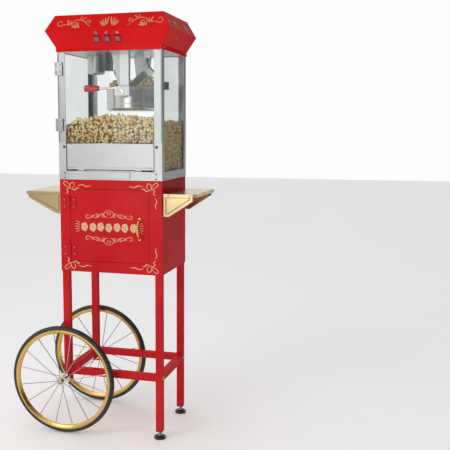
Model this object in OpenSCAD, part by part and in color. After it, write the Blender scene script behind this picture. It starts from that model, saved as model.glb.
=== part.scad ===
// Popcorn machine on a two-wheeled cart. Millimetres, +Z up, the front faces -Y.
// The origin is on the floor, under the middle of the whole footprint.

/* [Cart] */
// Width of the cart's cupboard
body_w = 396; // [380:1:410]
// Depth of the cart's cupboard
body_d = 306; // [300:1:316]
// Height of the cupboard's floor above the ground
cupboard_z = 618; // [590:1:640]
// Height of the cupboard
cupboard_h = 342.5; // [335:0.5:355]
// Side of the square leg and rail tube
tube_w = 25; // [22:1:28]

/* [Wheels] */
// Outer radius of a wheel
wheel_r = 206; // [190:1:215]
// Radius of the tyre's round section
tyre_r = 7.5; // [6:0.5:9]
// Number of spokes in a wheel
spoke_count = 16; // [12:4:24]
// Distance of a wheel's middle plane from the cart's middle
wheel_y = 183; // [181:1:190]
// Radius of the axle
axle_r = 6; // [5:0.5:7]

/* [Shelves] */
// How far a side shelf reaches from the cart
right_shelf_reach = 122; // [100:1:140]
left_shelf_reach = 148; // [100:1:160]
// Front-to-back size of a side shelf
shelf_d = 290; // [270:2:300]
// Height of the shelf's top face
shelf_z = 914; // [900:1:940]

/* [Popper case] */
// Width of the popper case over its posts
case_w = 398; // [390:1:402]
// Depth of the popper case over its posts
case_d = 308; // [302:1:312]
// Height of the popper case, from the cart to the canopy
case_h = 462.5; // [455:0.5:480]
// Height of the fold-down front panel
panel_h = 96; // [80:1:110]

/* [Canopy] */
// Width of the canopy at its widest fold
canopy_w = 466; // [440:1:480]
// Depth of the canopy at its widest fold
canopy_d = 362; // [340:1:380]
// Height of the canopy
canopy_h = 127; // [120:1:140]

/* [Kettle] */
// Outer radius of the kettle
kettle_r = 100; // [95:1:102]
// Height of the kettle's rim above its lowest point
kettle_h = 85; // [80:1:90]
// How far the lids stand open, pushed up by the popcorn
lid_open = 50; // [20:1:60]

/* [Hidden] */
$fn = 64;

red = [0.78, 0.07, 0.09];
gold = [0.80, 0.62, 0.24];
brass = [0.82, 0.72, 0.44];
steel = [0.75, 0.76, 0.78];
dark = [0.25, 0.26, 0.28];
black = [0.06, 0.06, 0.06];
white = [0.93, 0.93, 0.92];
clear = [0.8, 0.9, 0.95, 0.3];
corn = [0.93, 0.85, 0.62];

// Sheet thickness of the cart and the case, the gap round a door, and a bore's running clearance
sheet = 1.5;
gap = 1.2;
run = 0.05;

// Cart: heights, legs and axle
cupboard_top = cupboard_z + cupboard_h;
leg_inset = 3;
leg_x = body_w/2 - leg_inset - tube_w/2;
leg_y = body_d/2 - leg_inset - tube_w/2;
leg_foot_z = 31;
axle_x = -(leg_x + 4);
axle_end = wheel_y + 31;
rail_z = 219;
left_leg_z = 190;

// The footprint runs from the wheel's left edge to the right shelf's edge
cart_x = -(axle_x - wheel_r + body_w/2 + right_shelf_reach)/2;

// Cupboard door
door_x0 = -157.8;
door_x1 = 146.8;
door_z0 = cupboard_z + 41;
door_z1 = cupboard_top - 35;
door_t = 14;
handle_x = 113;
handle_z = cupboard_z + 166.5;
handle_span = 71;
handle_out = 26;

// Butt hinges: barrel radius, pin radius, leaf thickness and barrel centre above its seat
hinge_r = 3;
pin_r = 1.5;
leaf_t = 1.5;
seat = 3.5;
cart_hinge_x = -159;
cart_hinge_y = -body_d/2 - seat;
cart_hinge_zs = [cupboard_z + 79, cupboard_z + 254.5];

// Wheel
rim_out = wheel_r - 10;
rim_in = rim_out - 18;
hub_half = 20;
flange_r = 20;

// Shelf gussets: height at the wall and at the short end, where the sloping edge starts,
// and how far the short end stays behind the shelf's edge
gusset_h = 82;
gusset_tip = 24;
gusset_x0 = 22;
gusset_gap = 12.5;

// Case
case_z = cupboard_top;
case_top = case_z + case_h;
base_h = 31.5;
base_top = case_z + base_h;
post_w = 29;
post_t = 2;
hx = case_w/2;
hy = case_d/2;
deck_z = case_z + 28;
drawer_x0 = -86;
drawer_x1 = 78;
panel_x = hx - post_w - 3;
panel_y = -hy + 1.7;
panel_hinge_z = base_top + 4;
panel_z0 = panel_hinge_z + 2;
panel_z1 = panel_z0 + panel_h;
panel_hinge_xs = [-110, 110];
glass_t = 4;
pane_t = 3;
glass_y = -hy - 0.5;
glass_z0 = panel_z1 + 4;
glass_z1 = case_top - 4;
glass_hinge_x = -hx - 5.5;
glass_hinge_y = -hy - 2;
glass_hinge_r = 4;
glass_hinge_zs = [case_z + 199, case_z + 401];
glass_hinge_h = 46;

// Canopy
lip_w = case_w + 6;
lip_d = case_d + 6;
lip_z0 = case_top - 2;
lip_z1 = case_top + 14;
ridge_z = case_top + 70;
canopy_top = case_top + canopy_h;
crown_w = 410;
crown_d = 300;
skin = 2;
skirt_rise = ridge_z - lip_z1;
skirt_out = (canopy_d - lip_d)/2;
skirt_tilt = atan2(skirt_out, skirt_rise);
switch_z = lip_z1 + 24;
switch_xs = [-39, 1, 41];
rocker_w = 17.4;
rocker_h = 20;

// Kettle and its drive
kx = 40;
rim_z = case_z + 336.5;
pot_floor = rim_z - 59;
kettle_z = rim_z - kettle_h;
pivot_z = rim_z - 18;
trunnion_r = 5;
sleeve_r = 8;
arm_y = kettle_r + 3.6;
arm_t = 3;
arm_top = case_top;
shaft_r = 4;
crown_z = pivot_z - 13;
crown_teeth = 20;
pinion_teeth = 10;
pulley_r = 10;
motor_z = case_top + 29;
lamp_x = -125;
lamp_y = 40;
shade_r = 33;
lid_hinge_x = 9.5;
lid_hinge_z = rim_z + 4.5;
rod_y = -122;
rod_z = pivot_z + 12;
rod_r = 4;

// Kettle lead: points along its middle, from the ceiling plug down a hanging loop to the kettle's connector
plug_x = 111;
plug_y = -50;
lead_r = 3;
LEAD = [
    [111, -50, 1386], [114, -50, 1378], [119, -50, 1370], [126, -50, 1362], [134, -50, 1354],
    [141, -50, 1345], [146, -50, 1333], [149, -50, 1319], [150, -50, 1304], [150, -50, 1289],
    [150, -50, 1277], [150, -50, 1268], [149.6, -48.1, 1258.4], [149.3, -42.7, 1250.3],
    [148.9, -34.6, 1244.9], [148.5, -25, 1243], [148.1, -15.4, 1244.9], [147.8, -7.3, 1250.3],
    [147.4, -1.9, 1258.4], [147, 0, 1268], [147, 0, 1278], [147, 0, 1288.8]
];

// ---- helpers ----

module in_frame() { translate([cart_x, 0, 0]) children(); }

module box(x, y, z) { translate([x[0], y[0], z[0]]) cube([x[1] - x[0], y[1] - y[0], z[1] - z[0]]); }

// Rods along an axis, placed by their centre line and the two ends
function span(ends) = ends[1] - ends[0];
module xrod(r, y, z, ends) { translate([ends[0], y, z]) rotate([0, 90, 0]) cylinder(r = r, h = span(ends)); }
module yrod(r, x, z, ends) { translate([x, ends[1], z]) rotate([90, 0, 0]) cylinder(r = r, h = span(ends)); }
module zrod(r, x, y, ends) { translate([x, y, ends[0]]) cylinder(r = r, h = span(ends)); }

// A hollow box of sheet, open on the +Z side unless closed
module pan(x, y, z, t) {
    difference() {
        box(x, y, z);
        box([x[0] + t, x[1] - t], [y[0] + t, y[1] - t], [z[0] + t, z[1] + 1]);
    }
}

// A four-sided frustum centred on the Z axis
module frustum(w0, d0, z0, w1, d1, z1) {
    polyhedron(
        points = [
            [-w0/2, -d0/2, z0], [w0/2, -d0/2, z0], [w0/2, d0/2, z0], [-w0/2, d0/2, z0],
            [-w1/2, -d1/2, z1], [w1/2, -d1/2, z1], [w1/2, d1/2, z1], [-w1/2, d1/2, z1]
        ],
        faces = [[0, 1, 2, 3], [4, 7, 6, 5], [0, 4, 5, 1], [1, 5, 6, 2], [2, 6, 7, 3], [3, 7, 4, 0]]
    );
}

// Half of a butt hinge round the local Z axis: dir is the side of its leaf, segs its knuckles of three
module hinge_half(dir, len, leaf_w, segs) {
    seg = len/3;
    difference() {
        union() {
            for (s = segs) translate([0, 0, -len/2 + s*seg + 0.3]) {
                cylinder(r = hinge_r, h = seg - 0.6);
                translate([min(0, dir*(hinge_r + 1)), seat - leaf_t, 0])
                    cube([hinge_r + 1, leaf_t, seg - 0.6]);
            }
            translate([dir > 0 ? hinge_r + 0.6 : -leaf_w, seat - leaf_t, -len/2])
                cube([leaf_w - hinge_r - 0.6, leaf_t, len]);
        }
        translate([0, 0, -len/2 - 1]) cylinder(r = pin_r + run, h = len + 2);
    }
}

// ---- cart ----

module cart_cabinet() {
    color(red) in_frame() difference() {
        box([-body_w/2, body_w/2], [-body_d/2, body_d/2], [cupboard_z, cupboard_top]);
        box([-body_w/2 + sheet, body_w/2 - sheet], [-body_d/2 + sheet, body_d/2 - sheet],
            [cupboard_z + sheet, cupboard_top - sheet]);
        box([door_x0 - gap, door_x1 + gap], [-body_d/2 - 1, -body_d/2 + 4], [door_z0 - gap, door_z1 + gap]);
    }
}

module cart_door() {
    color(red) in_frame() difference() {
        box([door_x0, door_x1], [-body_d/2, -body_d/2 + door_t], [door_z0, door_z1]);
        box([door_x0 + sheet, door_x1 - sheet], [-body_d/2 + sheet, -body_d/2 + door_t + 1],
            [door_z0 + sheet, door_z1 - sheet]);
    }
}

// A bow of round bar on two small feet
module door_handle() {
    r = (pow(handle_span/2, 2) + pow(handle_out, 2))/(2*handle_out);
    half = asin(handle_span/2/r);
    color(gold) in_frame() difference() {
        union() {
            translate([handle_x, -body_d/2 + r - handle_out, handle_z])
                rotate([0, -90, 0]) rotate([0, 0, -90 - half])
                    rotate_extrude(angle = 2*half, $fn = 96) translate([r, 0]) circle(r = 4, $fn = 32);
            for (s = [-1, 1]) yrod(6, handle_x, handle_z + s*handle_span/2, [-body_d/2 - 3, -body_d/2]);
        }
        box([handle_x - 9, handle_x + 9], [-body_d/2, -body_d/2 + 6],
            [handle_z - handle_span, handle_z + handle_span]);
    }
}

module cart_hinge_plates() {
    color(red) in_frame() for (z = cart_hinge_zs) translate([cart_hinge_x, cart_hinge_y, z]) {
        hinge_half(-1, 45, 26, [0, 2]);
        translate([0, 0, -22.5]) cylinder(r = pin_r, h = 45);
    }
}

module cart_hinge_leaves() {
    color(red) in_frame() for (z = cart_hinge_zs) translate([cart_hinge_x, cart_hinge_y, z])
        hinge_half(1, 45, 26, [1]);
}

// A square tube with 1.5 mm walls
module tube_z(x, y, z) {
    h = tube_w/2;
    difference() {
        box([x - h, x + h], [y - h, y + h], z);
        box([x - h + sheet, x + h - sheet], [y - h + sheet, y + h - sheet], [z[0] - 1, z[1] + 1]);
    }
}

module cart_legs() {
    color(red) in_frame() difference() {
        union() for (y = [-leg_y, leg_y]) {
            tube_z(-leg_x, y, [left_leg_z, cupboard_z]);
            tube_z(leg_x, y, [leg_foot_z, cupboard_z]);
        }
        yrod(axle_r + run, axle_x, wheel_r, [-wheel_y, wheel_y]);
    }
}

module lower_rails() {
    h = tube_w/2;
    z = [rail_z, rail_z + tube_w];
    zi = [rail_z + sheet, rail_z + tube_w - sheet];
    color(red) in_frame() {
        for (y = [-leg_y, leg_y]) difference() {
            box([-leg_x + h, leg_x - h], [y - h, y + h], z);
            box([-leg_x + h - 1, leg_x - h + 1], [y - h + sheet, y + h - sheet], zi);
        }
        for (x = [-leg_x, leg_x]) difference() {
            box([x - h, x + h], [-leg_y + h, leg_y - h], z);
            box([x - h + sheet, x + h - sheet], [-leg_y + h - 1, leg_y - h + 1], zi);
        }
    }
}

// Axle with its spacers beside the legs and a domed nut on each end
module axle() {
    color(steel) in_frame() {
        yrod(axle_r, axle_x, wheel_r, [-axle_end + 4, axle_end - 4]);
        for (s = [-1, 1]) {
            yrod(9, axle_x, wheel_r, s < 0 ? [-wheel_y + hub_half + 0.5, -body_d/2 + 2.6]
                                           : [body_d/2 - 2.6, wheel_y - hub_half - 0.5]);
            yrod(9, axle_x, wheel_r, s < 0 ? [-axle_end + 4, -wheel_y - hub_half - 0.5]
                                           : [wheel_y + hub_half + 0.5, axle_end - 4]);
            intersection() {
                translate([axle_x, s*(axle_end - 8), wheel_r]) sphere(r = 8, $fn = 48);
                yrod(7, axle_x, wheel_r, s < 0 ? [-axle_end, -axle_end + 5] : [axle_end - 5, axle_end]);
            }
        }
    }
}

// Plugged tube ends, threaded stems and round pads under the two right legs
module levelling_feet() {
    color(black) in_frame() for (y = [-leg_y, leg_y]) {
        zrod(22, leg_x, y, [0, 7]);
        zrod(15, leg_x, y, [7, 12]);
        zrod(5, leg_x, y, [12, leg_foot_z]);
        box([leg_x - tube_w/2, leg_x + tube_w/2], [y - tube_w/2, y + tube_w/2], [leg_foot_z - 4, leg_foot_z]);
    }
}

// Wheel parts are turned round the axle, at the middle plane y
module at_wheel(y) { in_frame() translate([axle_x, y, wheel_r]) rotate([90, 0, 0]) children(); }

module tyre(y) {
    color(black) at_wheel(y)
        rotate_extrude($fn = 128) translate([wheel_r - tyre_r, 0]) circle(r = tyre_r, $fn = 32);
}

module rim(y) {
    lip = tyre_r + 2;
    groove = wheel_r - 2*tyre_r - 0.2;
    color(gold) at_wheel(y) rotate_extrude($fn = 128) polygon([
        [rim_in, -4], [rim_in, 4], [rim_in + 7, lip], [rim_out, lip], [rim_out, lip - 1.5],
        [groove, lip - 1.5], [groove, -lip + 1.5], [rim_out, -lip + 1.5], [rim_out, -lip], [rim_in + 7, -lip]
    ]);
}

// Straight spokes from the hub's two flanges in turn to the middle of the rim
module spokes(y) {
    r0 = flange_r + 0.1;
    r1 = rim_in - 0.2;
    off = hub_half - 1.5;
    color(steel) at_wheel(y) for (i = [0 : spoke_count - 1]) {
        side = i % 2 == 0 ? 1 : -1;
        rotate([0, 0, (i + 0.5)*360/spoke_count]) translate([r0, 0, side*off])
            rotate([0, 90 + side*atan2(off, r1 - r0), 0])
                cylinder(r = 1.5, h = norm([off, r1 - r0]), $fn = 16);
    }
}

module hub(y) {
    color(steel) at_wheel(y) difference() {
        union() {
            cylinder(r = 11, h = 2*hub_half, center = true);
            for (s = [-1, 1])
                translate([0, 0, s*(hub_half - 1.5)]) cylinder(r = flange_r, h = 3, center = true);
        }
        cylinder(r = axle_r + run, h = 2*hub_half + 2, center = true);
    }
}

module front_tyre() tyre(-wheel_y);
module front_rim() rim(-wheel_y);
module front_spokes() spokes(-wheel_y);
module front_hub() hub(-wheel_y);
module rear_tyre() tyre(wheel_y);
module rear_rim() rim(wheel_y);
module rear_spokes() spokes(wheel_y);
module rear_hub() hub(wheel_y);

// ---- shelves ----

// Outline of a shelf with its two outer corners rounded, from the wall at x = 0 towards +X
module shelf_outline(reach, inset) {
    r = 14 - inset;
    w = reach - inset;
    d = shelf_d/2 - inset;
    translate([0, -d]) square([w - r, 2*d]);
    translate([0, -d + r]) square([w, 2*(d - r)]);
    for (s = [-1, 1]) translate([w - r, s*(d - r)]) circle(r = r);
}

// A folded tray, upside down, with a 12 mm flange on its three free sides
module shelf(reach) {
    translate([0, 0, shelf_z]) difference() {
        translate([0, 0, -12]) linear_extrude(12) shelf_outline(reach, 0);
        translate([0, 0, -13]) linear_extrude(13 - sheet) shelf_outline(reach, sheet);
    }
}

module left_shelf() {
    color(brass) in_frame() translate([-body_w/2, 0, 0]) mirror([1, 0, 0]) shelf(left_shelf_reach);
}

module right_shelf() { color(brass) in_frame() translate([body_w/2, 0, 0]) shelf(right_shelf_reach); }

// How far a gusset's sloping edge rises from its foot to its short end, in degrees
function gusset_slope(end) = atan2(gusset_h - gusset_tip, end - gusset_x0);

// A gusset's side view, from the foot against the wall out to its short end, drawn in by inset
module gusset_outline(end, inset) {
    slope = gusset_slope(end);
    top = shelf_z - sheet - inset;
    foot = shelf_z - gusset_h + inset;
    polygon([[inset, top], [end - inset, top],
        [end - inset, shelf_z - gusset_tip + (1/cos(slope) - tan(slope))*inset],
        [gusset_x0 + (1 - 1/cos(slope))/tan(slope)*inset, foot], [inset, foot]]);
}

// A pressed gusset: flat plate, raised border, and a flange along its sloping edge
module gusset(end) {
    run_out = norm([end - gusset_x0, gusset_h - gusset_tip]) - 1;
    rotate([90, 0, 0]) {
        linear_extrude(1.2) gusset_outline(end, 0);
        linear_extrude(2.6) difference() { gusset_outline(end, 0); gusset_outline(end, 9); }
        linear_extrude(2.2) gusset_outline(end, 12);
    }
    translate([gusset_x0, -0.6, shelf_z - gusset_h + 0.3]) rotate([0, -gusset_slope(end), 0])
        cube([run_out, 12.6, 1.2]);
    box([0, 1.2], [-0.6, 12], [shelf_z - gusset_h, shelf_z - 14]);
}

module shelf_brackets() {
    y = shelf_d/2 - sheet - 2.8;
    color(brass) in_frame() for (m = [0, 1], n = [0, 1])
        mirror([m, 0, 0]) mirror([0, n, 0]) translate([body_w/2, -y, 0])
            gusset((m == 0 ? right_shelf_reach : left_shelf_reach) - gusset_gap);
}

// ---- popper case ----

module machine_base() {
    color(steel) in_frame() {
        difference() {
            pan([-hx, hx], [-hy, hy], [case_z, base_top], sheet);
            box([drawer_x0 + 3, drawer_x1 - 3], [-hy - 1, -hy + 4], [case_z + 4, case_z + 25.5]);
        }
        for (x = [drawer_x0 + 12, drawer_x1 - 20])
            box([x, x + 8], [-hy + 4, 110], [case_z + sheet, case_z + 5]);
        for (x = [[-hx + sheet, -hx + 10], [hx - 10, hx - sheet]])
            box(x, [-140, 140], [deck_z - 1.5, deck_z]);
    }
}

// Perforated plate that lets unpopped kernels fall into the drawer
module deck_plate() {
    color(steel) in_frame() difference() {
        box([-hx + 2, hx - 2], [-hy + 5, hy - 5], [deck_z, deck_z + sheet]);
        for (i = [-5 : 5], j = [-3 : 3]) zrod(4, i*14, j*28, [deck_z - 1, deck_z + 3]);
    }
}

module kernel_drawer() {
    x = [drawer_x0 + 4.5, drawer_x1 - 4.5];
    color(steel) in_frame() {
        pan(x, [-hy - 1.5, 96], [case_z + 5.3, case_z + 24.5], 1);
        box([drawer_x0, drawer_x1], [-hy - 2.5, -hy - 0.5], [case_z + 4.5, case_z + 30]);
    }
}

// Four angle posts, one in each corner
module corner_posts() {
    color(steel) in_frame() for (m = [0, 1], n = [0, 1]) mirror([m, 0, 0]) mirror([0, n, 0]) {
        box([-hx, -hx + post_w], [-hy, -hy + post_t], [base_top, case_top]);
        box([-hx, -hx + post_t], [-hy, -hy + post_w - 1], [base_top, case_top]);
    }
}

module side_glass() {
    x = hx - post_t - 0.2;
    color(clear) in_frame() for (m = [0, 1]) mirror([m, 0, 0])
        box([x - pane_t, x], [-hy + post_t + 0.2, hy - post_t - 0.2], [deck_z + sheet + 0.2, case_top - 0.5]);
}

module rear_glass() {
    x = hx - post_t - pane_t - 0.6;
    y = hy - post_t - 0.2;
    color(clear) in_frame() box([-x, x], [y - pane_t, y], [deck_z + sheet + 0.2, case_top - 0.5]);
}

module glass_door() {
    color(clear) in_frame() box([-hx + 3, hx - 3], [glass_y - glass_t, glass_y], [glass_z0, glass_z1]);
}

// The door's half of its two hinges: leaves on the glass and the middle knuckles
module door_hinge_leaves() {
    seg = glass_hinge_h/3;
    face = glass_y - glass_t;
    color(steel) in_frame() for (z = glass_hinge_zs) difference() {
        union() {
            box([-hx - 1.2, -hx + 20], [face - leaf_t, face], [z - glass_hinge_h/2, z + glass_hinge_h/2]);
            box([glass_hinge_x, -hx], [face - leaf_t, face], [z - seg/2 + 0.3, z + seg/2 - 0.3]);
            zrod(glass_hinge_r, glass_hinge_x, glass_hinge_y, [z - seg/2 + 0.3, z + seg/2 - 0.3]);
        }
        zrod(pin_r + run, glass_hinge_x, glass_hinge_y, [z - seg, z + seg]);
    }
}

// The posts' half: plates on the posts' outer sides, the outer knuckles and the pins
module door_hinge_plates() {
    seg = glass_hinge_h/3;
    color(steel) in_frame() for (z = glass_hinge_zs) {
        difference() {
            union() {
                box([-hx - leaf_t, -hx], [glass_hinge_y + 4.5, -hy + 28],
                    [z - glass_hinge_h/2, z + glass_hinge_h/2]);
                for (s = [-1, 1]) {
                    zc = z + s*seg;
                    zs = [zc - seg/2 + 0.3, zc + seg/2 - 0.3];
                    box([glass_hinge_x, -hx], [glass_hinge_y, glass_hinge_y + 6], zs);
                    zrod(glass_hinge_r, glass_hinge_x, glass_hinge_y, zs);
                }
            }
            zrod(pin_r + run, glass_hinge_x, glass_hinge_y, [z - glass_hinge_h, z + glass_hinge_h]);
        }
        zrod(pin_r, glass_hinge_x, glass_hinge_y, [z - glass_hinge_h/2, z + glass_hinge_h/2]);
    }
}

// Folded sheet panel with a rolled top edge; its knuckles are the middle ones of two hinges
module front_panel() {
    y = [-hy + 1, -hy + 1 + sheet];
    color(steel) in_frame() {
        difference() {
            box([-panel_x, panel_x], y, [panel_z0, panel_z1]);
            for (x = panel_hinge_xs, s = [-10.4, 10.4])
                box([x + s - 3.4, x + s + 3.4], [y[0] - 1, y[1] + 1], [panel_z0 - 1, panel_hinge_z + 3.4]);
        }
        for (s = [-1, 1]) box(s < 0 ? [-panel_x, -panel_x + sheet] : [panel_x - sheet, panel_x],
            [y[0], y[0] + 11], [panel_z0 + 6, panel_z1]);
        box([-panel_x, panel_x], [y[0], y[0] + 11], [panel_z1 - sheet, panel_z1]);
        for (x = panel_hinge_xs) difference() {
            union() {
                xrod(hinge_r, panel_y, panel_hinge_z, [x - 7, x + 7]);
                box([x - 7, x + 7], y, [panel_hinge_z, panel_z0 + 1]);
            }
            xrod(pin_r + run, panel_y, panel_hinge_z, [x - 8, x + 8]);
        }
    }
}

// Outer knuckles of the panel's hinges, on tabs inside the base's front wall, with the pins
module panel_hinge_tabs() {
    y = [-hy + sheet, -hy + 2*sheet];
    color(steel) in_frame() for (x = panel_hinge_xs) {
        difference() {
            for (s = [-1, 1]) {
                ends = s < 0 ? [x - 13, x - 7.4] : [x + 7.4, x + 13];
                xrod(hinge_r, panel_y, panel_hinge_z, ends);
                box(ends, y, [base_top - 8, panel_hinge_z]);
            }
            xrod(pin_r + run, panel_y, panel_hinge_z, [x - 14, x + 14]);
        }
        xrod(pin_r, panel_y, panel_hinge_z, [x - 13, x + 13]);
    }
}

// ---- canopy ----

// Solid outline of the canopy, inset by t: an upright lip, a flare up to the fold, and a taper to the top
module canopy_solid(t, z0, z1) {
    box([-lip_w/2 + t, lip_w/2 - t], [-lip_d/2 + t, lip_d/2 - t], [z0, lip_z1]);
    frustum(lip_w - 2*t, lip_d - 2*t, lip_z1, canopy_w - 2*t, canopy_d - 2*t, ridge_z);
    frustum(canopy_w - 2*t, canopy_d - 2*t, ridge_z, crown_w - 2*t, crown_d - 2*t, z1);
}

// A place on the lower skirt, at x and height z: local -Y points out of the skirt and Z up its slope
module on_skirt(x, z) {
    translate([x, -lip_d/2 - (z - lip_z1)*skirt_out/skirt_rise, z]) rotate([skirt_tilt, 0, 0]) children();
}

module canopy() {
    color(red) in_frame() difference() {
        canopy_solid(0, lip_z0, canopy_top);
        canopy_solid(skin, lip_z0 - 1, canopy_top - skin);
        for (x = switch_xs) on_skirt(x, switch_z) box([-11.2, 11.2], [-4, 6], [-12.7, 12.7]);
    }
}

// The canopy's lip is screwed to this plate's edge
module ceiling_plate() {
    color(steel) in_frame() difference() {
        box([-lip_w/2 + skin, lip_w/2 - skin], [-lip_d/2 + skin, lip_d/2 - skin], [case_top, case_top + 2]);
        box([kx - 15, kx + 15], [arm_y + 3.6, arm_y + 15.5], [case_top - 1, case_top + 3]);
        zrod(14, lamp_x, lamp_y, [case_top - 1, case_top + 3]);
    }
}

module switch_bezels() {
    color(black) in_frame() for (x = switch_xs) on_skirt(x, switch_z) difference() {
        union() {
            box([-12, 12], [-2, 0], [-13.5, 13.5]);
            box([-11, 11], [-1, 14], [-12.5, 12.5]);
        }
        box([-rocker_w/2 - 0.4, rocker_w/2 + 0.4], [-3, 12.5], [-11.6, 11.6]);
    }
}

// A rocker with its lower half pressed in; it turns on a pin across the middle of the bezel
module rocker(x) {
    h = rocker_h/2;
    color("crimson") in_frame() on_skirt(x, switch_z) translate([-rocker_w/2, 0, 0])
        rotate([90, 0, 90]) linear_extrude(rocker_w) polygon([
            [-3.8, h - 0.4], [-1.6, 0], [-1.5, -h + 0.2], [4, -h + 1.5], [8, -2], [8, 2], [4, h - 1.5]
        ]);
}

module lamp_switch() rocker(switch_xs[0]);
module stir_switch() rocker(switch_xs[1]);
module heat_switch() rocker(switch_xs[2]);

// Socket for the mains lead, mounted on the rear skirt under the overhang of the fold
module mains_inlet() {
    color(black) in_frame() rotate([0, 0, 180]) on_skirt(150, lip_z1 + 15) difference() {
        box([-17, 17], [-12, 0], [-12, 12]);
        box([-10, 10], [-13, -3], [-6.5, 6.5]);
    }
}

// ---- hanger arms ----

// Tapered arm plate in the XZ plane, with a round lower end about the tilt axis
module arm_outline(top_l, top_r, end_r) {
    polygon([[top_l, arm_top], [top_r, arm_top], [kx + end_r, pivot_z + 20], [kx + end_r, pivot_z],
        [kx - end_r, pivot_z], [kx - end_r, pivot_z + 20]]);
    translate([kx, pivot_z]) circle(r = end_r);
}

module front_arm() {
    color(white) in_frame() difference() {
        union() {
            translate([0, -arm_y, 0]) rotate([90, 0, 0]) linear_extrude(arm_t) arm_outline(-8, 66, 22);
            box([28, 62], [-115, -arm_y - arm_t + 0.1], [rim_z + 2, arm_top]);
            box([-12, 70], [-arm_y - arm_t, -arm_y + 18], [arm_top - 2, arm_top]);
        }
        box([29.5, 60.5], [-113.5, -arm_y - arm_t], [rim_z + 1, arm_top - 3]);
        yrod(trunnion_r + run, kx, pivot_z, [-120, -90]);
    }
}

// The rear arm's channel covers the drive belt
module rear_arm() {
    color(steel) in_frame() difference() {
        union() {
            translate([0, arm_y + arm_t, 0]) rotate([90, 0, 0]) linear_extrude(arm_t) arm_outline(4, 76, 22);
            translate([0, arm_y + 15.5, 0])
                rotate([90, 0, 0]) linear_extrude(12.6) belt_outline(15.5, arm_top);
            box([0, 80], [arm_y - 18, arm_y + arm_t], [arm_top - 2, arm_top]);
        }
        translate([0, arm_y + 14, 0]) rotate([90, 0, 0]) linear_extrude(11) belt_outline(14, arm_top + 1);
        yrod(sleeve_r + run, kx, pivot_z, [90, arm_y + 6]);
    }
}

// A strip with a round lower end about the tilt axis, reaching up to z
module belt_outline(r, z) {
    translate([kx, pivot_z]) circle(r = r);
    translate([kx - r, pivot_z]) square([2*r, z - pivot_z]);
}

// ---- kettle ----

// Spun pot with a rolled rim, welded trunnions, and a hollow rear one for the drive shaft
module kettle_pot() {
    color(steel) in_frame() {
        difference() {
            union() {
                translate([kx, 0, 0]) {
                    rotate_extrude($fn = 96) polygon([
                        [0, pot_floor], [kettle_r, pot_floor], [kettle_r, rim_z],
                        [kettle_r - sheet, rim_z], [kettle_r - sheet, pot_floor + sheet],
                        [0, pot_floor + sheet]
                    ]);
                    translate([0, 0, rim_z - 1.5]) rotate_extrude($fn = 96)
                        translate([kettle_r, 0]) circle(r = 1.5, $fn = 24);
                }
                yrod(9, kx, pivot_z, [-kettle_r - 2.6, -kettle_r + 1.4]);
                yrod(trunnion_r, kx, pivot_z, [-128, -kettle_r + 1.4]);
                yrod(12, kx, pivot_z, [kettle_r - 1.4, kettle_r + 2.6]);
                yrod(sleeve_r, kx, pivot_z, [kettle_r - 1.4, arm_y + 4.6]);
            }
            yrod(shaft_r + run, kx, pivot_z, [kettle_r - 4, arm_y + 6]);
        }
    }
}

// Lower pan that holds the heater
module kettle_base() {
    color(steel) in_frame() translate([kx, 0, 0]) rotate_extrude($fn = 96) difference() {
        polygon([
            [0, kettle_z], [kettle_r - 8, kettle_z], [kettle_r - 2, kettle_z + 3],
            [kettle_r, kettle_z + 8], [kettle_r, pot_floor - 0.3], [0, pot_floor - 0.3]
        ]);
        translate([0, kettle_z + 2]) square([kettle_r - 9, pot_floor - kettle_z - 4.3]);
    }
}

// Bar across the pot, with the stirrer's bearing and the lugs and pins of the lids
module lid_bridge() {
    color(steel) in_frame() translate([kx, 0, 0]) difference() {
        union() {
            box([-7, 7], [-kettle_r, kettle_r], [rim_z, rim_z + 3]);
            zrod(10, 0, 0, [rim_z - 8, rim_z + 3]);
            for (s = [-1, 1], y = [-53, -40, 37, 50]) translate([s*lid_hinge_x, y + 3, lid_hinge_z]) {
                rotate([90, 0, 0]) cylinder(r = 3, h = 3);
                translate([s > 0 ? -5 : 0, -3, -4.5]) cube([5, 3, 3]);
            }
            for (s = [-1, 1], y = [-53, 37]) yrod(1.2, s*lid_hinge_x, lid_hinge_z, [y, y + 16]);
        }
        zrod(shaft_r + run, 0, 0, [rim_z - 9, rim_z + 4]);
    }
}

// A half-round lid plate on two knuckles, drawn for the +X side and opened by lid_open
module lid() {
    hinge = [lid_hinge_x, 0, lid_hinge_z];
    translate(hinge) rotate([0, -lid_open, 0]) translate(-hinge)
        difference() {
            union() {
                intersection() {
                    zrod(kettle_r - 1, 0, 0, [rim_z + 0.8, rim_z + 2.3]);
                    box([lid_hinge_x + 3.6, kettle_r], [-kettle_r, kettle_r], [rim_z, rim_z + 3]);
                }
                for (y = [-49.6, 40.4]) {
                    yrod(2.5, lid_hinge_x, lid_hinge_z, [y, y + 9.2]);
                    box([lid_hinge_x, lid_hinge_x + 5], [y, y + 9.2], [rim_z + 0.8, rim_z + 2.8]);
                }
            }
            yrod(1.2 + run, lid_hinge_x, lid_hinge_z, [-60, 60]);
        }
}

module left_lid() { color(steel) in_frame() translate([kx, 0, 0]) mirror([1, 0, 0]) lid(); }
module right_lid() { color(steel) in_frame() translate([kx, 0, 0]) lid(); }

// Block clamped on the front trunnion, with its spacer; the handle's rod is screwed into it
module clamp_block() {
    color(white) in_frame() difference() {
        union() {
            box([kx - 28, kx + 28], [-129, -115.6], [pivot_z - 15, pivot_z + 18]);
            yrod(9, kx, pivot_z, [-116, -arm_y - arm_t - 0.4]);
        }
        yrod(trunnion_r + run, kx, pivot_z, [-128.5, -100]);
        xrod(rod_r + run, rod_y, rod_z, [kx - 30, kx - 10]);
    }
}

module handle_rod() { color(steel) in_frame() xrod(rod_r, rod_y, rod_z, [kx - 132, kx - 10.5]); }

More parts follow.
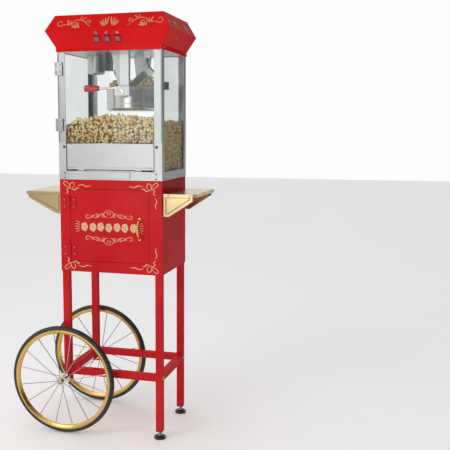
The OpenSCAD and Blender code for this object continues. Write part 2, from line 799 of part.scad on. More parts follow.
// Tapered grip, thick at its free end
module handle_grip() {
    color(red) in_frame() translate([kx - 146, rod_y, rod_z]) rotate([0, 90, 0]) difference() {
        rotate_extrude($fn = 64) polygon([[0, 0], [10, 0], [12, 2], [12, 26], [9.5, 52], [8, 56], [0, 56]]);
        translate([0, 0, 14]) cylinder(r = rod_r + run, h = 50);
    }
}

// Socket housing on the right side of the pot
module kettle_connector() {
    color(dark) in_frame() {
        box([kx + kettle_r + 1.5, kx + kettle_r + 33], [-15, 15], [rim_z - 8, rim_z + 20]);
        box([kx + kettle_r - 1, kx + kettle_r + 2], [-8, 8], [rim_z - 8, rim_z - 4]);
    }
}

// Upright spindle with a crown gear and a bottom blade
module stirrer() {
    color(steel) in_frame() translate([kx, 0, 0]) {
        zrod(shaft_r, 0, 0, [pot_floor + 3, rim_z + 3]);
        zrod(18, 0, 0, [crown_z, crown_z + 3.5]);
        for (i = [0 : crown_teeth - 1]) rotate([0, 0, (i + 0.5)*360/crown_teeth])
            box([-0.7, 0.7], [14.6, 18], [crown_z + 3, crown_z + 5.2]);
        box([-86, 86], [-4, 4], [pot_floor + 4, pot_floor + 7]);
        for (s = [-1, 1]) box(s < 0 ? [-86, -83] : [83, 86], [-4, 4], [pot_floor + 4, pot_floor + 22]);
    }
}

// Drive shaft along the tilt axis: the pinion over the crown gear and the belt pulley outside
module drive_shaft() {
    color(steel) in_frame() translate([kx, 0, pivot_z]) {
        yrod(shaft_r, 0, 0, [9, arm_y + 13]);
        yrod(6.2, 0, 0, [10, 18]);
        for (i = [0 : pinion_teeth - 1])
            rotate([0, i*360/pinion_teeth, 0]) box([-0.7, 0.7], [14.6, 18], [-9, -5]);
        yrod(pulley_r, 0, 0, [arm_y + 5, arm_y + 13]);
    }
}

// ---- drive, light and wiring ----

module gear_motor() {
    color(dark) in_frame() difference() {
        union() {
            box([kx - 30, kx + 30], [40, 100], [case_top + 2, motor_z + 28]);
            yrod(24, kx, motor_z + 2, [-30, 40]);
        }
        yrod(shaft_r + run, kx, motor_z, [80, 101]);
    }
}

module motor_pulley() {
    color(steel) in_frame() translate([kx, 0, motor_z]) {
        yrod(shaft_r, 0, 0, [82, arm_y + 13]);
        yrod(pulley_r, 0, 0, [arm_y + 5, arm_y + 13]);
    }
}

// Flat belt round both pulleys
module drive_belt() {
    inner = pulley_r + 0.3;
    outer = inner + 1.5;
    color(black) in_frame() translate([0, arm_y + 12, 0]) rotate([90, 0, 0]) linear_extrude(6) difference() {
        union() { belt_outline(outer, motor_z); translate([kx, motor_z]) circle(r = outer); }
        union() { belt_outline(inner, motor_z); translate([kx, motor_z]) circle(r = inner); }
    }
}

// Round shade with a rolled-in lower edge, open below
module lamp_shade() {
    color(steel) in_frame() translate([lamp_x, lamp_y, case_top - 71]) difference() {
        rotate_extrude($fn = 64) difference() {
            union() {
                translate([0, 10]) square([shade_r, 61]);
                square([shade_r - 10, 20]);
                translate([shade_r - 10, 10]) circle(r = 10);
            }
            union() {
                translate([0, 11]) square([shade_r - 1.2, 58.5]);
                square([shade_r - 12, 20]);
                translate([shade_r - 10.5, 11]) circle(r = 9);
            }
        }
        translate([0, 0, 65]) cylinder(r = 14.2, h = 10);
    }
}

// Lamp in its holder, which hangs through the ceiling plate
module lamp() {
    color(white) in_frame() translate([lamp_x, lamp_y, case_top]) {
        translate([0, 0, -34]) sphere(r = 19);
        translate([0, 0, -26]) cylinder(r = 13.5, h = 46);
    }
}

module wiring_box() {
    color(dark) in_frame() pan([-74, -51], [0, 26], [case_top - 60, case_top], sheet);
}

// Tapered plug in the ceiling plate, with the lead's strain relief under it
module ceiling_plug() {
    color(white) in_frame() translate([plug_x, plug_y, 0]) difference() {
        translate([0, 0, case_top - 22]) cylinder(r1 = 9, r2 = 15, h = 22);
        translate([0, 0, case_top - 23]) cylinder(r = 5 + run, h = 6);
    }
}

// Round tube swept along a list of points, closed at both ends
function unit(v) = v/norm(v);
function heading(p, i) = unit(p[min(i + 1, len(p) - 1)] - p[max(i - 1, 0)]);
function ring(c, t, r, n) =
    let (a = unit(cross(t, [1, 0.1, 0.4])), b = cross(t, a))
    [for (k = [0 : n - 1]) c + r*(cos(360*k/n)*a + sin(360*k/n)*b)];

module swept_tube(path, r, n) {
    m = len(path);
    polyhedron(
        points = [for (i = [0 : m - 1]) each ring(path[i], heading(path, i), r, n)],
        faces = concat(
            [[for (k = [0 : n - 1]) k]],
            [for (i = [0 : m - 2], k = [0 : n - 1])
                [i*n + k, (i + 1)*n + k, (i + 1)*n + (k + 1) % n, i*n + (k + 1) % n]],
            [[for (k = [0 : n - 1]) m*n - 1 - k]]
        )
    );
}

module kettle_lead() {
    color(black) in_frame() {
        swept_tube(LEAD, lead_r, 8);
        translate([plug_x, plug_y, case_top - 37]) cylinder(r = 5, h = 19);
    }
}

// Loose popcorn on the deck, as a crust open below: highest at the front and against the right pane
module popcorn_heap() {
    wall = 4;
    top = [[-192, 1141], [-165, 1149], [150, 1150], [166, 1172], [192, 1172]];
    bank = [[-192, 1143], [-172, 1163], [-140, 1182], [-80, 1190], [0, 1199], [60, 1195], [130, 1188],
        [172, 1192], [192, 1186]];
    color(corn) in_frame() difference() {
        union() {
            heap_slab(top, [-hy + 14, hy - 8], 0);
            heap_slab(bank, [-hy + 14, -108], 0);
        }
        heap_slab(top, [-hy + 14 + wall, hy - 8 - wall], wall);
        heap_slab(bank, [-hy + 14 + wall, -108 - wall], wall);
    }
}

// A slab in XZ under a skyline of points, inset by t, between two values of y
module heap_slab(sky, y, t) {
    n = len(sky) - 1;
    z0 = deck_z + sheet + 0.3;
    translate([0, y[1], 0]) rotate([90, 0, 0]) linear_extrude(y[1] - y[0])
        polygon(concat([[sky[0][0] + t, z0 - t/4]],
            [for (i = [0 : n]) [sky[i][0] + (i == 0 ? t : i == n ? -t : 0), sky[i][1] - t]],
            [[sky[n][0] - t, z0 - t/4]]));
}

cart_cabinet();
cart_door();
door_handle();
cart_hinge_plates();
cart_hinge_leaves();
cart_legs();
lower_rails();
axle();
levelling_feet();
front_tyre();
front_rim();
front_spokes();
front_hub();
rear_tyre();
rear_rim();
rear_spokes();
rear_hub();
left_shelf();
right_shelf();
shelf_brackets();
machine_base();
deck_plate();
kernel_drawer();
corner_posts();
side_glass();
rear_glass();
glass_door();
door_hinge_leaves();
door_hinge_plates();
front_panel();
panel_hinge_tabs();
canopy();
ceiling_plate();
switch_bezels();
lamp_switch();
stir_switch();
heat_switch();
mains_inlet();
front_arm();
rear_arm();
kettle_pot();
kettle_base();
lid_bridge();
left_lid();
right_lid();
clamp_block();
handle_rod();
handle_grip();
kettle_connector();
stirrer();
drive_shaft();
gear_motor();
motor_pulley();
drive_belt();
lamp_shade();
lamp();
wiring_box();
ceiling_plug();
kettle_lead();
popcorn_heap();
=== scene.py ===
import math

import bmesh
import bpy
import numpy as np
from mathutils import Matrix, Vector


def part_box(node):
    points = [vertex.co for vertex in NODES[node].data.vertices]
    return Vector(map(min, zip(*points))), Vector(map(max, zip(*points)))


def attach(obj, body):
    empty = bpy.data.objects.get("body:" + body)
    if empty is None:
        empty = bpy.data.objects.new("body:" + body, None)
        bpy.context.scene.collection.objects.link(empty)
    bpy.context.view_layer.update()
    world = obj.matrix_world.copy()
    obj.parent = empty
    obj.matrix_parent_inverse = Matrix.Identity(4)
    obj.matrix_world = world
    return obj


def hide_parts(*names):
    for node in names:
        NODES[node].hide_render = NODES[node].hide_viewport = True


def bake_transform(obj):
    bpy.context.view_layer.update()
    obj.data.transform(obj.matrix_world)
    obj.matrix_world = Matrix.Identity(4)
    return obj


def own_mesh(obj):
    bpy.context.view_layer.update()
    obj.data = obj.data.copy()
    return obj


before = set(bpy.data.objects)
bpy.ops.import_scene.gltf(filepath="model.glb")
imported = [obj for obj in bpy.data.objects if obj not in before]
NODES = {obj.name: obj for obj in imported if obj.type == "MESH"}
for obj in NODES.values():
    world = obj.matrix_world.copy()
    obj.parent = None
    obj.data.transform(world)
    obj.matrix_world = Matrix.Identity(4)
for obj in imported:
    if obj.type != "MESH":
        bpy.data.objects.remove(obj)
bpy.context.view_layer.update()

# Shapes are measured in the cart's own millimetres: x from the cabinet's middle, y back, z up.
CAB_LO, CAB_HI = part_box("cart_cabinet")
CX = (CAB_LO.x + CAB_HI.x) / 2


def P(x, y, z):
    """A point of the cart in the row's frame, in metres."""
    return Vector((x / 1000 + CX, y / 1000, z / 1000))


def mm(node):
    """A CAD node's box in cart millimetres."""
    a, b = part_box(node)
    return ((a.x - CX) * 1000, a.y * 1000, a.z * 1000), ((b.x - CX) * 1000, b.y * 1000, b.z * 1000)


def centre(node):
    """The middle of a CAD node's box in cart millimetres."""
    low, high = mm(node)
    return (Vector(low) + Vector(high)) / 2


def new_object(name, data):
    ob = bpy.data.objects.new(name, data)
    bpy.context.scene.collection.objects.link(ob)
    return ob


# -------- camera, light, floor

def camera():
    """The camera that fits the level edges of the case, the cart and the canopy."""
    cam = bpy.data.cameras.new("camera")
    ob = new_object("camera", cam)
    yaw, pitch = 0.28139, 0.12474
    look = Vector((-math.sin(yaw) * math.cos(pitch), math.cos(yaw) * math.cos(pitch), -math.sin(pitch)))
    ob.location = (CX + 1.01664, -2.75512, 1.14543)
    ob.rotation_euler = look.to_track_quat("-Z", "Y").to_euler()
    cam.sensor_width = 36
    cam.lens = 61.3936
    cam.shift_x = 0.1
    cam.clip_end = 50
    scene = bpy.context.scene
    scene.camera = ob
    scene.view_settings.view_transform = "Standard"


def area_light(name, at, to, size, power, colour=(1, 1, 1), size_y=None):
    light = bpy.data.lights.new(name, "AREA")
    light.energy = power
    light.color = colour
    light.size = size
    if size_y:
        light.shape = "RECTANGLE"
        light.size_y = size_y
    ob = new_object(name, light)
    ob.location = at
    ob.rotation_euler = (Vector(to) - Vector(at)).to_track_quat("-Z", "Y").to_euler()


# Brightness of the studio's front wall, from its left end to its right end
STRIPS = [(0.0, 0.95), (0.14, 0.9), (0.2, 0.3), (0.28, 0.5), (0.4, 0.6),
          (0.46, 0.3), (0.5, 0.28), (0.53, 0.95), (0.56, 0.3), (0.62, 0.2)]


def lights():
    """A white studio for the reflections: strips in front, a dark wall on the right, bright elsewhere.
    The camera itself sees a plain pale backdrop."""
    world = bpy.data.worlds.new("studio")
    bpy.context.scene.world = world
    world.use_nodes = True
    nt = world.node_tree
    way = new_node(nt, "SeparateXYZ")
    nt.links.new(new_node(nt, "TexCoord").outputs["Generated"], way.inputs[0])
    x, y, z = way.outputs
    right = eased(nt, x, 0.93, 0.12, 0.07, 0.22)
    strips = ramp(nt, eased(nt, x, 0, 1, -1, 1), [(at, (v, v, v)) for at, v in STRIPS])
    front = mix_rgb(nt, eased(nt, y, 0, 1, -0.45, 0.15), strips, (1, 1, 1))
    walls = math_node(nt, "MULTIPLY", right, front)
    light = math_node(nt, "MAXIMUM", walls, eased(nt, z, 0, 0.95, 0.45, 0.9))
    backdrop = math_node(nt, "MULTIPLY", new_node(nt, "LightPath").outputs["Is Camera Ray"], 0.98)
    light = math_node(nt, "MAXIMUM", light, backdrop)
    tune(nt, nt.nodes["Background"], {"Strength": light, "Color": (1, 1, 1, 1)})
    area_light("key", (-1.6, -2.6, 2.6), (0, 0, 0.9), 1.6, 26, (1, 0.98, 0.96))
    area_light("front", (-0.4, -3.2, 1.3), (0, 0, 0.9), 1.4, 12, size_y=1.8)


def floor():
    """A plain pale floor."""
    bpy.ops.mesh.primitive_plane_add(size=30, location=(0, 0, -0.0006))
    ob = bpy.context.object
    ob.name = "floor"
    m, nt, b = new_mat("floor_mat")
    base = ramp(nt, noise(nt, 1.2, 2), [(0.3, (0.93, 0.93, 0.93)), (0.7, (0.96, 0.96, 0.96))])
    tune(nt, b, {"Base Color": base, "Roughness": 0.7, "Emission Color": (1, 1, 1, 1),
                 "Emission Strength": 0.1})
    ob.data.materials.append(m)


# -------- material helpers

def tune(nt, node, values):
    """Sets a node's inputs by name: a socket is linked, anything else is written as it is."""
    for name, v in values.items():
        if isinstance(v, bpy.types.NodeSocket):
            nt.links.new(v, node.inputs[name])
        else:
            node.inputs[name].default_value = v


def new_node(nt, kind, values=None):
    node = nt.nodes.new("ShaderNode" + kind)
    tune(nt, node, values or {})
    return node


def new_mat(name):
    m = bpy.data.materials.new(name)
    m.use_nodes = True
    nt = m.node_tree
    nt.nodes.clear()
    out = new_node(nt, "OutputMaterial")
    b = new_node(nt, "BsdfPrincipled")
    nt.links.new(b.outputs[0], out.inputs[0])
    return m, nt, b


def noise(nt, scale, detail=3.0, stretch=(1, 1, 1)):
    """Noise in the object's own coordinates, drawn out along an axis by a small stretch."""
    tc = new_node(nt, "TexCoord")
    mp = new_node(nt, "Mapping", {"Scale": stretch, "Vector": tc.outputs["Object"]})
    values = {"Scale": scale, "Detail": detail, "Roughness": 0.55, "Vector": mp.outputs[0]}
    return new_node(nt, "TexNoise", values).outputs["Fac"]


def ramp(nt, fac, stops):
    r = new_node(nt, "ValToRGB")
    e = r.color_ramp.elements
    e.remove(e[1])
    for i, (p, c) in enumerate(stops):
        stop = e[0] if i == 0 else e.new(p)
        stop.position = p
        stop.color = (*c, 1) if len(c) == 3 else c
    nt.links.new(fac, r.inputs[0])
    return r.outputs[0]


def eased(nt, fac, lo, hi, a=0.3, b=0.7):
    """The value carried from a..b to lo..hi, held outside."""
    values = {"Value": fac, "From Min": a, "From Max": b, "To Min": lo, "To Max": hi}
    return new_node(nt, "MapRange", values).outputs[0]


def mix_rgb(nt, fac, a, b, kind="MIX"):
    n = new_node(nt, "Mix")
    n.data_type = "RGBA"
    n.blend_type = kind
    for socket, v in ((n.inputs[0], fac), (n.inputs[6], a), (n.inputs[7], b)):
        if isinstance(v, bpy.types.NodeSocket):
            nt.links.new(v, socket)
        elif isinstance(v, (int, float)):
            socket.default_value = v
        else:
            socket.default_value = (*v, 1)
    return n.outputs[2]


def bump(nt, b, height, strength, distance, edge=0.0):
    """Fine relief; edge is the radius that sharp folds are shaded with."""
    n = new_node(nt, "Bump", {"Strength": strength, "Distance": distance, "Height": height})
    if edge:
        bev = new_node(nt, "Bevel", {"Radius": edge})
        bev.samples = 4
        tune(nt, n, {"Normal": bev.outputs[0]})
    tune(nt, b, {"Normal": n.outputs[0]})


def math_node(nt, op, a, b=None):
    n = new_node(nt, "Math")
    n.operation = op
    for socket, v in zip(n.inputs, (a, b)):
        if isinstance(v, bpy.types.NodeSocket):
            nt.links.new(v, socket)
        elif v is not None:
            socket.default_value = v
    return n.outputs[0]


# -------- materials

def shade(colour, k, lift=0.0):
    """The colour made darker or lighter."""
    return tuple(min(1, c * k + lift) for c in colour)


def paint_mat(name, colour, rough=0.28, coat=0.45):
    """Gloss enamel: slow tone drift, faint dust, orange peel, softly rounded folds."""
    m, nt, b = new_mat(name)
    drift = noise(nt, 4.0, 4)
    dark = shade(colour, 0.86)
    light = shade(colour, 1.08, 0.004)
    base = ramp(nt, drift, [(0.32, dark), (0.68, light)])
    fine = noise(nt, 60, 5)
    base = mix_rgb(nt, eased(nt, fine, 0, 0.10, 0.5, 0.8), base, shade(colour, 1, 0.05))
    smear = noise(nt, 9, 4, (1, 1, 0.35))
    tune(nt, b, {"Base Color": base, "Roughness": eased(nt, smear, rough - 0.06, rough + 0.12),
                 "Specular IOR Level": 0.0, "Coat Weight": coat, "Coat Roughness": 0.12})
    bump(nt, b, noise(nt, 420, 2), 0.12, 0.0006, 0.0011)
    return m


def brushed_mat(name, colour, rough, along="x", metal=1.0, scratch=0.25, grime=0.12, spread=0.06):
    """Rolled sheet: fine grain drawn out along one axis, cloudy wiping marks and a few scratches."""
    m, nt, b = new_mat(name)
    stretch = {"x": (6, 700, 700), "z": (700, 700, 6), "y": (700, 6, 700)}[along]
    grain = noise(nt, 1.0, 2, stretch)
    cloud = noise(nt, 7.0, 5)
    dark = shade(colour, 1 - grime)
    base = ramp(nt, cloud, [(0.3, dark), (0.7, colour)])
    base = mix_rgb(nt, eased(nt, grain, 0, scratch, 0.35, 0.75), base, shade(colour, 0.78))
    streaks = eased(nt, grain, -spread, spread)
    both = math_node(nt, "ADD", streaks, eased(nt, cloud, rough - 0.04, rough + 0.06))
    tune(nt, b, {"Base Color": base, "Metallic": metal, "Roughness": both})
    bump(nt, b, grain, 0.10, 0.0002, 0.0008)
    return m


def plated_mat(name, colour, rough, spots=0.1):
    """Polished plating: warm tone drift, fine pits and finger haze."""
    m, nt, b = new_mat(name)
    drift = noise(nt, 11, 5)
    base = ramp(nt, drift, [(0.3, shade(colour, 0.86)), (0.7, colour)])
    pits = noise(nt, 350, 3)
    base = mix_rgb(nt, eased(nt, pits, 0, spots, 0.62, 0.8), base, shade(colour, 0.55))
    haze = eased(nt, noise(nt, 26, 4), rough - 0.04, rough + 0.09)
    tune(nt, b, {"Base Color": base, "Metallic": 1.0, "Roughness": haze})
    bump(nt, b, pits, 0.05, 0.0002, 0.0008)
    return m


def plastic_mat(name, colour, rough, grain=600, strength=0.25, coat=0.0):
    """Moulded plastic: a fine grain and a slow drift of tone and gloss."""
    m, nt, b = new_mat(name)
    drift = noise(nt, 18, 4)
    dark = shade(colour, 0.85)
    light = shade(colour, 1.12, 0.004)
    tune(nt, b, {"Base Color": ramp(nt, drift, [(0.3, dark), (0.7, light)]), "Coat Weight": coat,
                 "Roughness": eased(nt, drift, rough - 0.05, rough + 0.08)})
    bump(nt, b, noise(nt, grain, 2), strength, 0.0003, 0.0007)
    return m


def rubber_mat(name):
    """Tyre rubber: near black with a dusty bloom and faint moulding rings."""
    m, nt, b = new_mat(name)
    dust = noise(nt, 30, 5)
    base = ramp(nt, dust, [(0.35, (0.012, 0.012, 0.013)), (0.75, (0.045, 0.043, 0.04))])
    tune(nt, b, {"Base Color": base, "Roughness": eased(nt, dust, 0.42, 0.62)})
    bump(nt, b, noise(nt, 500, 3), 0.3, 0.0004)
    return m


def pane_mat(name, tint):
    """A clear pane: what lies behind shows straight through, with a mirror film that grows at low angles."""
    m, nt, b = new_mat(name)
    out = [n for n in nt.nodes if n.type == "OUTPUT_MATERIAL"][0]
    nt.nodes.remove(b)
    smudge = noise(nt, 14, 5)
    cast = ramp(nt, smudge, [(0.35, tint), (0.75, shade(tint, 0.985))])
    clear = new_node(nt, "BsdfTransparent", {"Color": cast})
    gloss = new_node(nt, "BsdfGlossy", {"Roughness": 0.03, "Color": (0.9, 0.95, 0.95, 1)})
    grazing = new_node(nt, "LayerWeight").outputs["Facing"]
    mirror = math_node(nt, "MULTIPLY", math_node(nt, "POWER", grazing, 4.0), 0.5)
    mix = new_node(nt, "MixShader")
    nt.links.new(math_node(nt, "ADD", mirror, 0.03), mix.inputs[0])
    nt.links.new(clear.outputs[0], mix.inputs[1])
    nt.links.new(gloss.outputs[0], mix.inputs[2])
    nt.links.new(mix.outputs[0], out.inputs[0])
    return m


def lamp_mat():
    """Frosted glass with a soft warm glow."""
    m, nt, b = new_mat("lamp_frosted")
    base = ramp(nt, noise(nt, 40, 3), [(0.3, (0.86, 0.84, 0.78)), (0.7, (0.95, 0.94, 0.9))])
    tune(nt, b, {"Base Color": base, "Roughness": 0.35, "Emission Color": (1, 0.9, 0.72, 1),
                 "Emission Strength": 0.6})
    return m


def lens_mat():
    """Translucent red rocker, paler where it has been rubbed."""
    m, nt, b = new_mat("switch_lens")
    base = ramp(nt, noise(nt, 90, 3), [(0.35, (0.42, 0.01, 0.02)), (0.75, (0.62, 0.03, 0.04))])
    tune(nt, b, {"Base Color": base, "Roughness": 0.18, "Coat Weight": 0.6})
    bump(nt, b, noise(nt, 700, 2), 0.15, 0.0002, 0.0007)
    return m


def corn_mat():
    """Popped corn: cream on the lobes, dark in the creases and hollows, where the brown is partly butter and
    hull and partly painted shade; each piece its own tone.
    """
    m, nt, b = new_mat("popcorn_flake")
    tone = new_node(nt, "Attribute")
    tone.attribute_name = "tone"
    own = new_node(nt, "Attribute")
    own.attribute_name = "own"
    base = ramp(nt, tone.outputs["Fac"], [(0.0, (0.30, 0.15, 0.04)), (0.22, (0.62, 0.40, 0.13)),
                                          (0.5, (0.80, 0.62, 0.30)), (1.0, (0.88, 0.77, 0.50))])
    tint = ramp(nt, own.outputs["Fac"], [(0.0, (1.0, 0.70, 0.42)), (0.18, (1.0, 0.86, 0.62)),
                                         (0.55, (1.0, 0.97, 0.85)), (1.0, (1.05, 1.03, 1.0))])
    base = mix_rgb(nt, 1.0, base, tint, "MULTIPLY")
    fleck = noise(nt, 240, 4)
    base = mix_rgb(nt, eased(nt, fleck, 0, 0.5, 0.56, 0.74), base, (0.55, 0.30, 0.09))
    tune(nt, b, {"Base Color": base, "Roughness": 0.62, "Subsurface Weight": 0.12,
                 "Subsurface Radius": (0.004, 0.003, 0.0015)})
    bump(nt, b, noise(nt, 420, 4), 0.6, 0.0008)
    return m


def core_shade_mat():
    """The inside of the heap, behind the outer flakes, painted dark brown as the shade that fills it."""
    m, nt, b = new_mat("popcorn_deep")
    n = noise(nt, 70, 4)
    base = ramp(nt, n, [(0.35, (0.13, 0.06, 0.015)), (0.7, (0.42, 0.27, 0.09))])
    tune(nt, b, {"Base Color": base, "Roughness": 0.8})
    bump(nt, b, n, 0.8, 0.004)
    return m


def ink_mat(name, colour):
    """Screen-printed gold ornament: a little metallic, uneven in thickness."""
    m, nt, b = new_mat(name)
    n = noise(nt, 110, 4)
    base = ramp(nt, n, [(0.3, shade(colour, 0.8)), (0.7, colour)])
    tune(nt, b, {"Base Color": base, "Metallic": 0.15, "Roughness": eased(nt, n, 0.3, 0.5)})
    bump(nt, b, n, 0.2, 0.0002)
    return m


M = {}


def materials():
    """Every material of the part, in the order they are made."""
    M.update(
        red=paint_mat("red_enamel", (0.62, 0.014, 0.019), 0.3, 0.14),
        canopy=paint_mat("red_canopy", (0.68, 0.004, 0.006), 0.3, 0.14),
        gold=plated_mat("gold_plating", (0.80, 0.52, 0.16), 0.24),
        shelf=plated_mat("pale_brass", (0.62, 0.49, 0.27), 0.22),
        # Dark brass for the gussets' grooves: painted shade in the recess.
        shelf_groove=plated_mat("brass_groove_painted_shade", (0.30, 0.21, 0.08), 0.35),
        steel_x=brushed_mat("steel_sheet", (0.56, 0.57, 0.57), 0.34, "x"),
        steel_z=brushed_mat("steel_upright", (0.47, 0.48, 0.49), 0.32, "z"),
        kettle=brushed_mat("kettle_steel", (0.72, 0.72, 0.70), 0.22, "z", grime=0.25),
        # The hanger arm's sheet is darker than the other steels: painted shade for the arm's shaded flank.
        arm=brushed_mat("arm_sheet_painted_shade", (0.37, 0.38, 0.38), 0.36, "z"),
        bright=brushed_mat("bright_sheet", (0.66, 0.66, 0.66), 0.42, "z", 0.55, 0.06, 0.05),
        alu=brushed_mat("anodised_posts", (0.56, 0.565, 0.57), 0.36, "z", 0.85, 0.12, 0.06),
        shade=brushed_mat("spun_shade", (0.62, 0.63, 0.63), 0.38, "x", 0.9, 0.12, 0.1),
        chrome=plated_mat("chrome_plating", (0.78, 0.77, 0.73), 0.10, 0.05),
        spoke=plated_mat("spoke_wire", (0.42, 0.42, 0.40), 0.2, 0.05),
        tyre=rubber_mat("tyre_rubber"),
        black=plastic_mat("black_plastic", (0.022, 0.022, 0.023), 0.36),
        dark=plastic_mat("dark_housing", (0.075, 0.08, 0.088), 0.45),
        white=plastic_mat("white_plastic", (0.80, 0.79, 0.76), 0.4),
        grip=plastic_mat("red_grip", (0.62, 0.012, 0.014), 0.22, 500, 0.15, 0.5),
        lens=lens_mat(),
        pane=pane_mat("clear_pane", (0.975, 0.985, 0.98)),
        pane_edge=plastic_mat("pane_edge", (0.55, 0.68, 0.64), 0.12, 300, 0.05, 0.3),
        lamp=lamp_mat(),
        corn=corn_mat(),
        ink=ink_mat("cream_ink", (0.86, 0.55, 0.30)),
        ink_canopy=ink_mat("gold_ink", (0.62, 0.43, 0.16)),
        ink_dark=ink_mat("caramel_ink", (0.42, 0.17, 0.05)),
        corn_deep=core_shade_mat(),
        screw=plated_mat("zinc_screw", (0.60, 0.60, 0.60), 0.28),
        # Near-black screw heads: painted shade for the shadowed screws on the case's base band.
        screw_dark=plated_mat("screw_painted_shade", (0.17, 0.17, 0.17), 0.3),
        screw_red=plated_mat("painted_screw", (0.62, 0.26, 0.25), 0.34),
        gasket=plastic_mat("black_gasket", (0.02, 0.02, 0.02), 0.6),
        cloth_black=plastic_mat("lead_sleeve", (0.03, 0.03, 0.032), 0.5),
    )


DRESS = {
    "red": "cart_cabinet cart_door cart_hinge_plates cart_hinge_leaves cart_legs lower_rails",
    "canopy": "canopy",
    "gold": "door_handle front_rim rear_rim",
    "shelf": "left_shelf right_shelf shelf_brackets",
    "steel_x": "machine_base deck_plate kernel_drawer front_panel panel_hinge_tabs ceiling_plate"
               " lid_bridge left_lid right_lid",
    "arm": "front_arm",
    "steel_z": "rear_arm motor_pulley drive_shaft stirrer door_hinge_leaves door_hinge_plates",
    "kettle": "kettle_pot kettle_base",
    "bright": "clamp_block",
    "alu": "corner_posts",
    "shade": "lamp_shade",
    "spoke": "front_spokes rear_spokes",
    "chrome": "axle front_hub rear_hub handle_rod",
    "tyre": "front_tyre rear_tyre drive_belt kettle_lead",
    "black": "levelling_feet switch_bezels mains_inlet",
    "dark": "kettle_connector gear_motor wiring_box",
    "white": "ceiling_plug",
    "grip": "handle_grip",
    "lens": "lamp_switch stir_switch heat_switch",
    "pane": "side_glass rear_glass glass_door",
    "lamp": "lamp",
    "corn": "popcorn_heap",
}


def dress():
    """Gives every CAD piece its material."""
    for key, names in DRESS.items():
        for n in names.split():
            ob = NODES[n]
            ob.data.materials.clear()
            ob.data.materials.append(M[key])


# -------- mesh helpers

def circle(n):
    """The angles of n even steps round a full turn."""
    return [2 * math.pi * i / n for i in range(n)]


class Form:
    """Closed forms gathered in cart millimetres, then made into one piece."""

    def __init__(self):
        self.verts, self.faces = [], []

    def add(self, points, faces, place=None):
        n = len(self.verts)
        self.verts += [place(*p) if place else tuple(p) for p in points]
        self.faces += [tuple(n + i for i in f) for f in faces]

    def box(self, x, y, z, place=None):
        pts = [(i, j, k) for k in z for j in y for i in x]
        sides = [(0, 2, 3, 1), (4, 5, 7, 6), (0, 1, 5, 4), (1, 3, 7, 5), (3, 2, 6, 7), (2, 0, 4, 6)]
        self.add(pts, sides, place)

    def loft(self, rings, place=None, closed=False):
        """Skins rings of equally many points; its ends are capped unless it closes on itself."""
        k, m = len(rings[0]), len(rings)
        faces = []
        for i in range(m if closed else m - 1):
            a, b = i * k, (i + 1) % m * k
            faces += [(a + j, a + (j + 1) % k, b + (j + 1) % k, b + j) for j in range(k)]
        if not closed:
            faces += [tuple(range(k))[::-1], tuple((m - 1) * k + j for j in range(k))]
        self.add([p for r in rings for p in r], faces, place)

    def lathe(self, profile, place, n=24, at=(0, 0)):
        """Turns (radius, height) steps round a surface's normal, from end to end."""
        x, y = at
        rings = [[(x + r * math.cos(t), y + r * math.sin(t), h) for t in circle(n)] for r, h in profile]
        self.loft(rings, place)

    def hoop(self, section, place, n=96):
        """A ring round a surface's normal, from its section of (radius, height) points."""
        rings = [[(r * math.cos(t), r * math.sin(t), h) for r, h in section] for t in circle(n)]
        self.loft(rings, place, True)

    def ribbon(self, line, width, place, height=0.3, closed=False, taper=True):
        """A raised printed stroke along a line, widest in its middle."""
        m = len(line)
        section = ((-1, -0.1), (-0.85, height), (0.85, height), (1, -0.1))
        rings = []
        for i, p in enumerate(line):
            before, after = ((i - 1) % m, (i + 1) % m) if closed else (max(i - 1, 0), min(i + 1, m - 1))
            t = (Vector(line[after]) - Vector(line[before])).normalized()
            w = width / 2
            if taper and not closed:
                w *= 0.25 + 0.75 * max(0, math.sin(math.pi * i / (m - 1))) ** 0.7
            n = Vector((-t.y, t.x))
            rings.append([(*(Vector(p) + n * s * w), h) for s, h in section])
        self.loft(rings, place, closed)

    def strokes(self, lines, place, height=0.24, step=0.02):
        """Ribbons along (line, width) pairs, each a little higher than the last, so that none lie flush.
        A line of plain points is rounded first."""
        for i, (line, width) in enumerate(lines):
            line = line if isinstance(line[0], Vector) else curve(line)
            self.ribbon(line, width, place, height + step * i)

    def tube(self, line, r, n=12):
        pts = [Vector(p) for p in line]
        side = Vector((1, 0.1, 0.4))
        rings = []
        for i, p in enumerate(pts):
            t = (pts[min(i + 1, len(pts) - 1)] - pts[max(i - 1, 0)]).normalized()
            a = t.cross(side).normalized()
            b = t.cross(a)
            rings.append([p + (a * math.cos(u) + b * math.sin(u)) * r for u in circle(n)])
        self.loft(rings)

    def piece(self, name, mat, body, slot, smooth=False):
        """One object in the scene, riding with a body of the CAD model."""
        mesh = bpy.data.meshes.new(name)
        mesh.from_pydata([P(*v) for v in self.verts], [], self.faces)
        bm = bmesh.new()
        bm.from_mesh(mesh)
        bmesh.ops.recalc_face_normals(bm, faces=bm.faces)
        bm.to_mesh(mesh)
        bm.free()
        if smooth:
            mesh.shade_smooth()
        ob = new_object(name, mesh)
        mesh.materials.append(M[mat])
        if body:
            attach(ob, body)
        return ob


def curve(points, steps=6):
    """A smooth (Catmull-Rom) line through the points."""
    pts = [Vector(p) for p in points]
    pts = [2 * pts[0] - pts[1], *pts, 2 * pts[-1] - pts[-2]]
    out = []
    for a, b, c, d in zip(pts, pts[1:], pts[2:], pts[3:]):
        for k in range(steps):
            t = k / steps
            bend = (2 * a - 5 * b + 4 * c - d) * t * t + (3 * b - a - 3 * c + d) * t ** 3
            out.append(0.5 * (2 * b + (c - a) * t + bend))
    return out + [pts[-2]]


def straight(a, b, n):
    """n even steps from a to b."""
    return [Vector(a) + (Vector(b) - Vector(a)) * k / n for k in range(n + 1)]


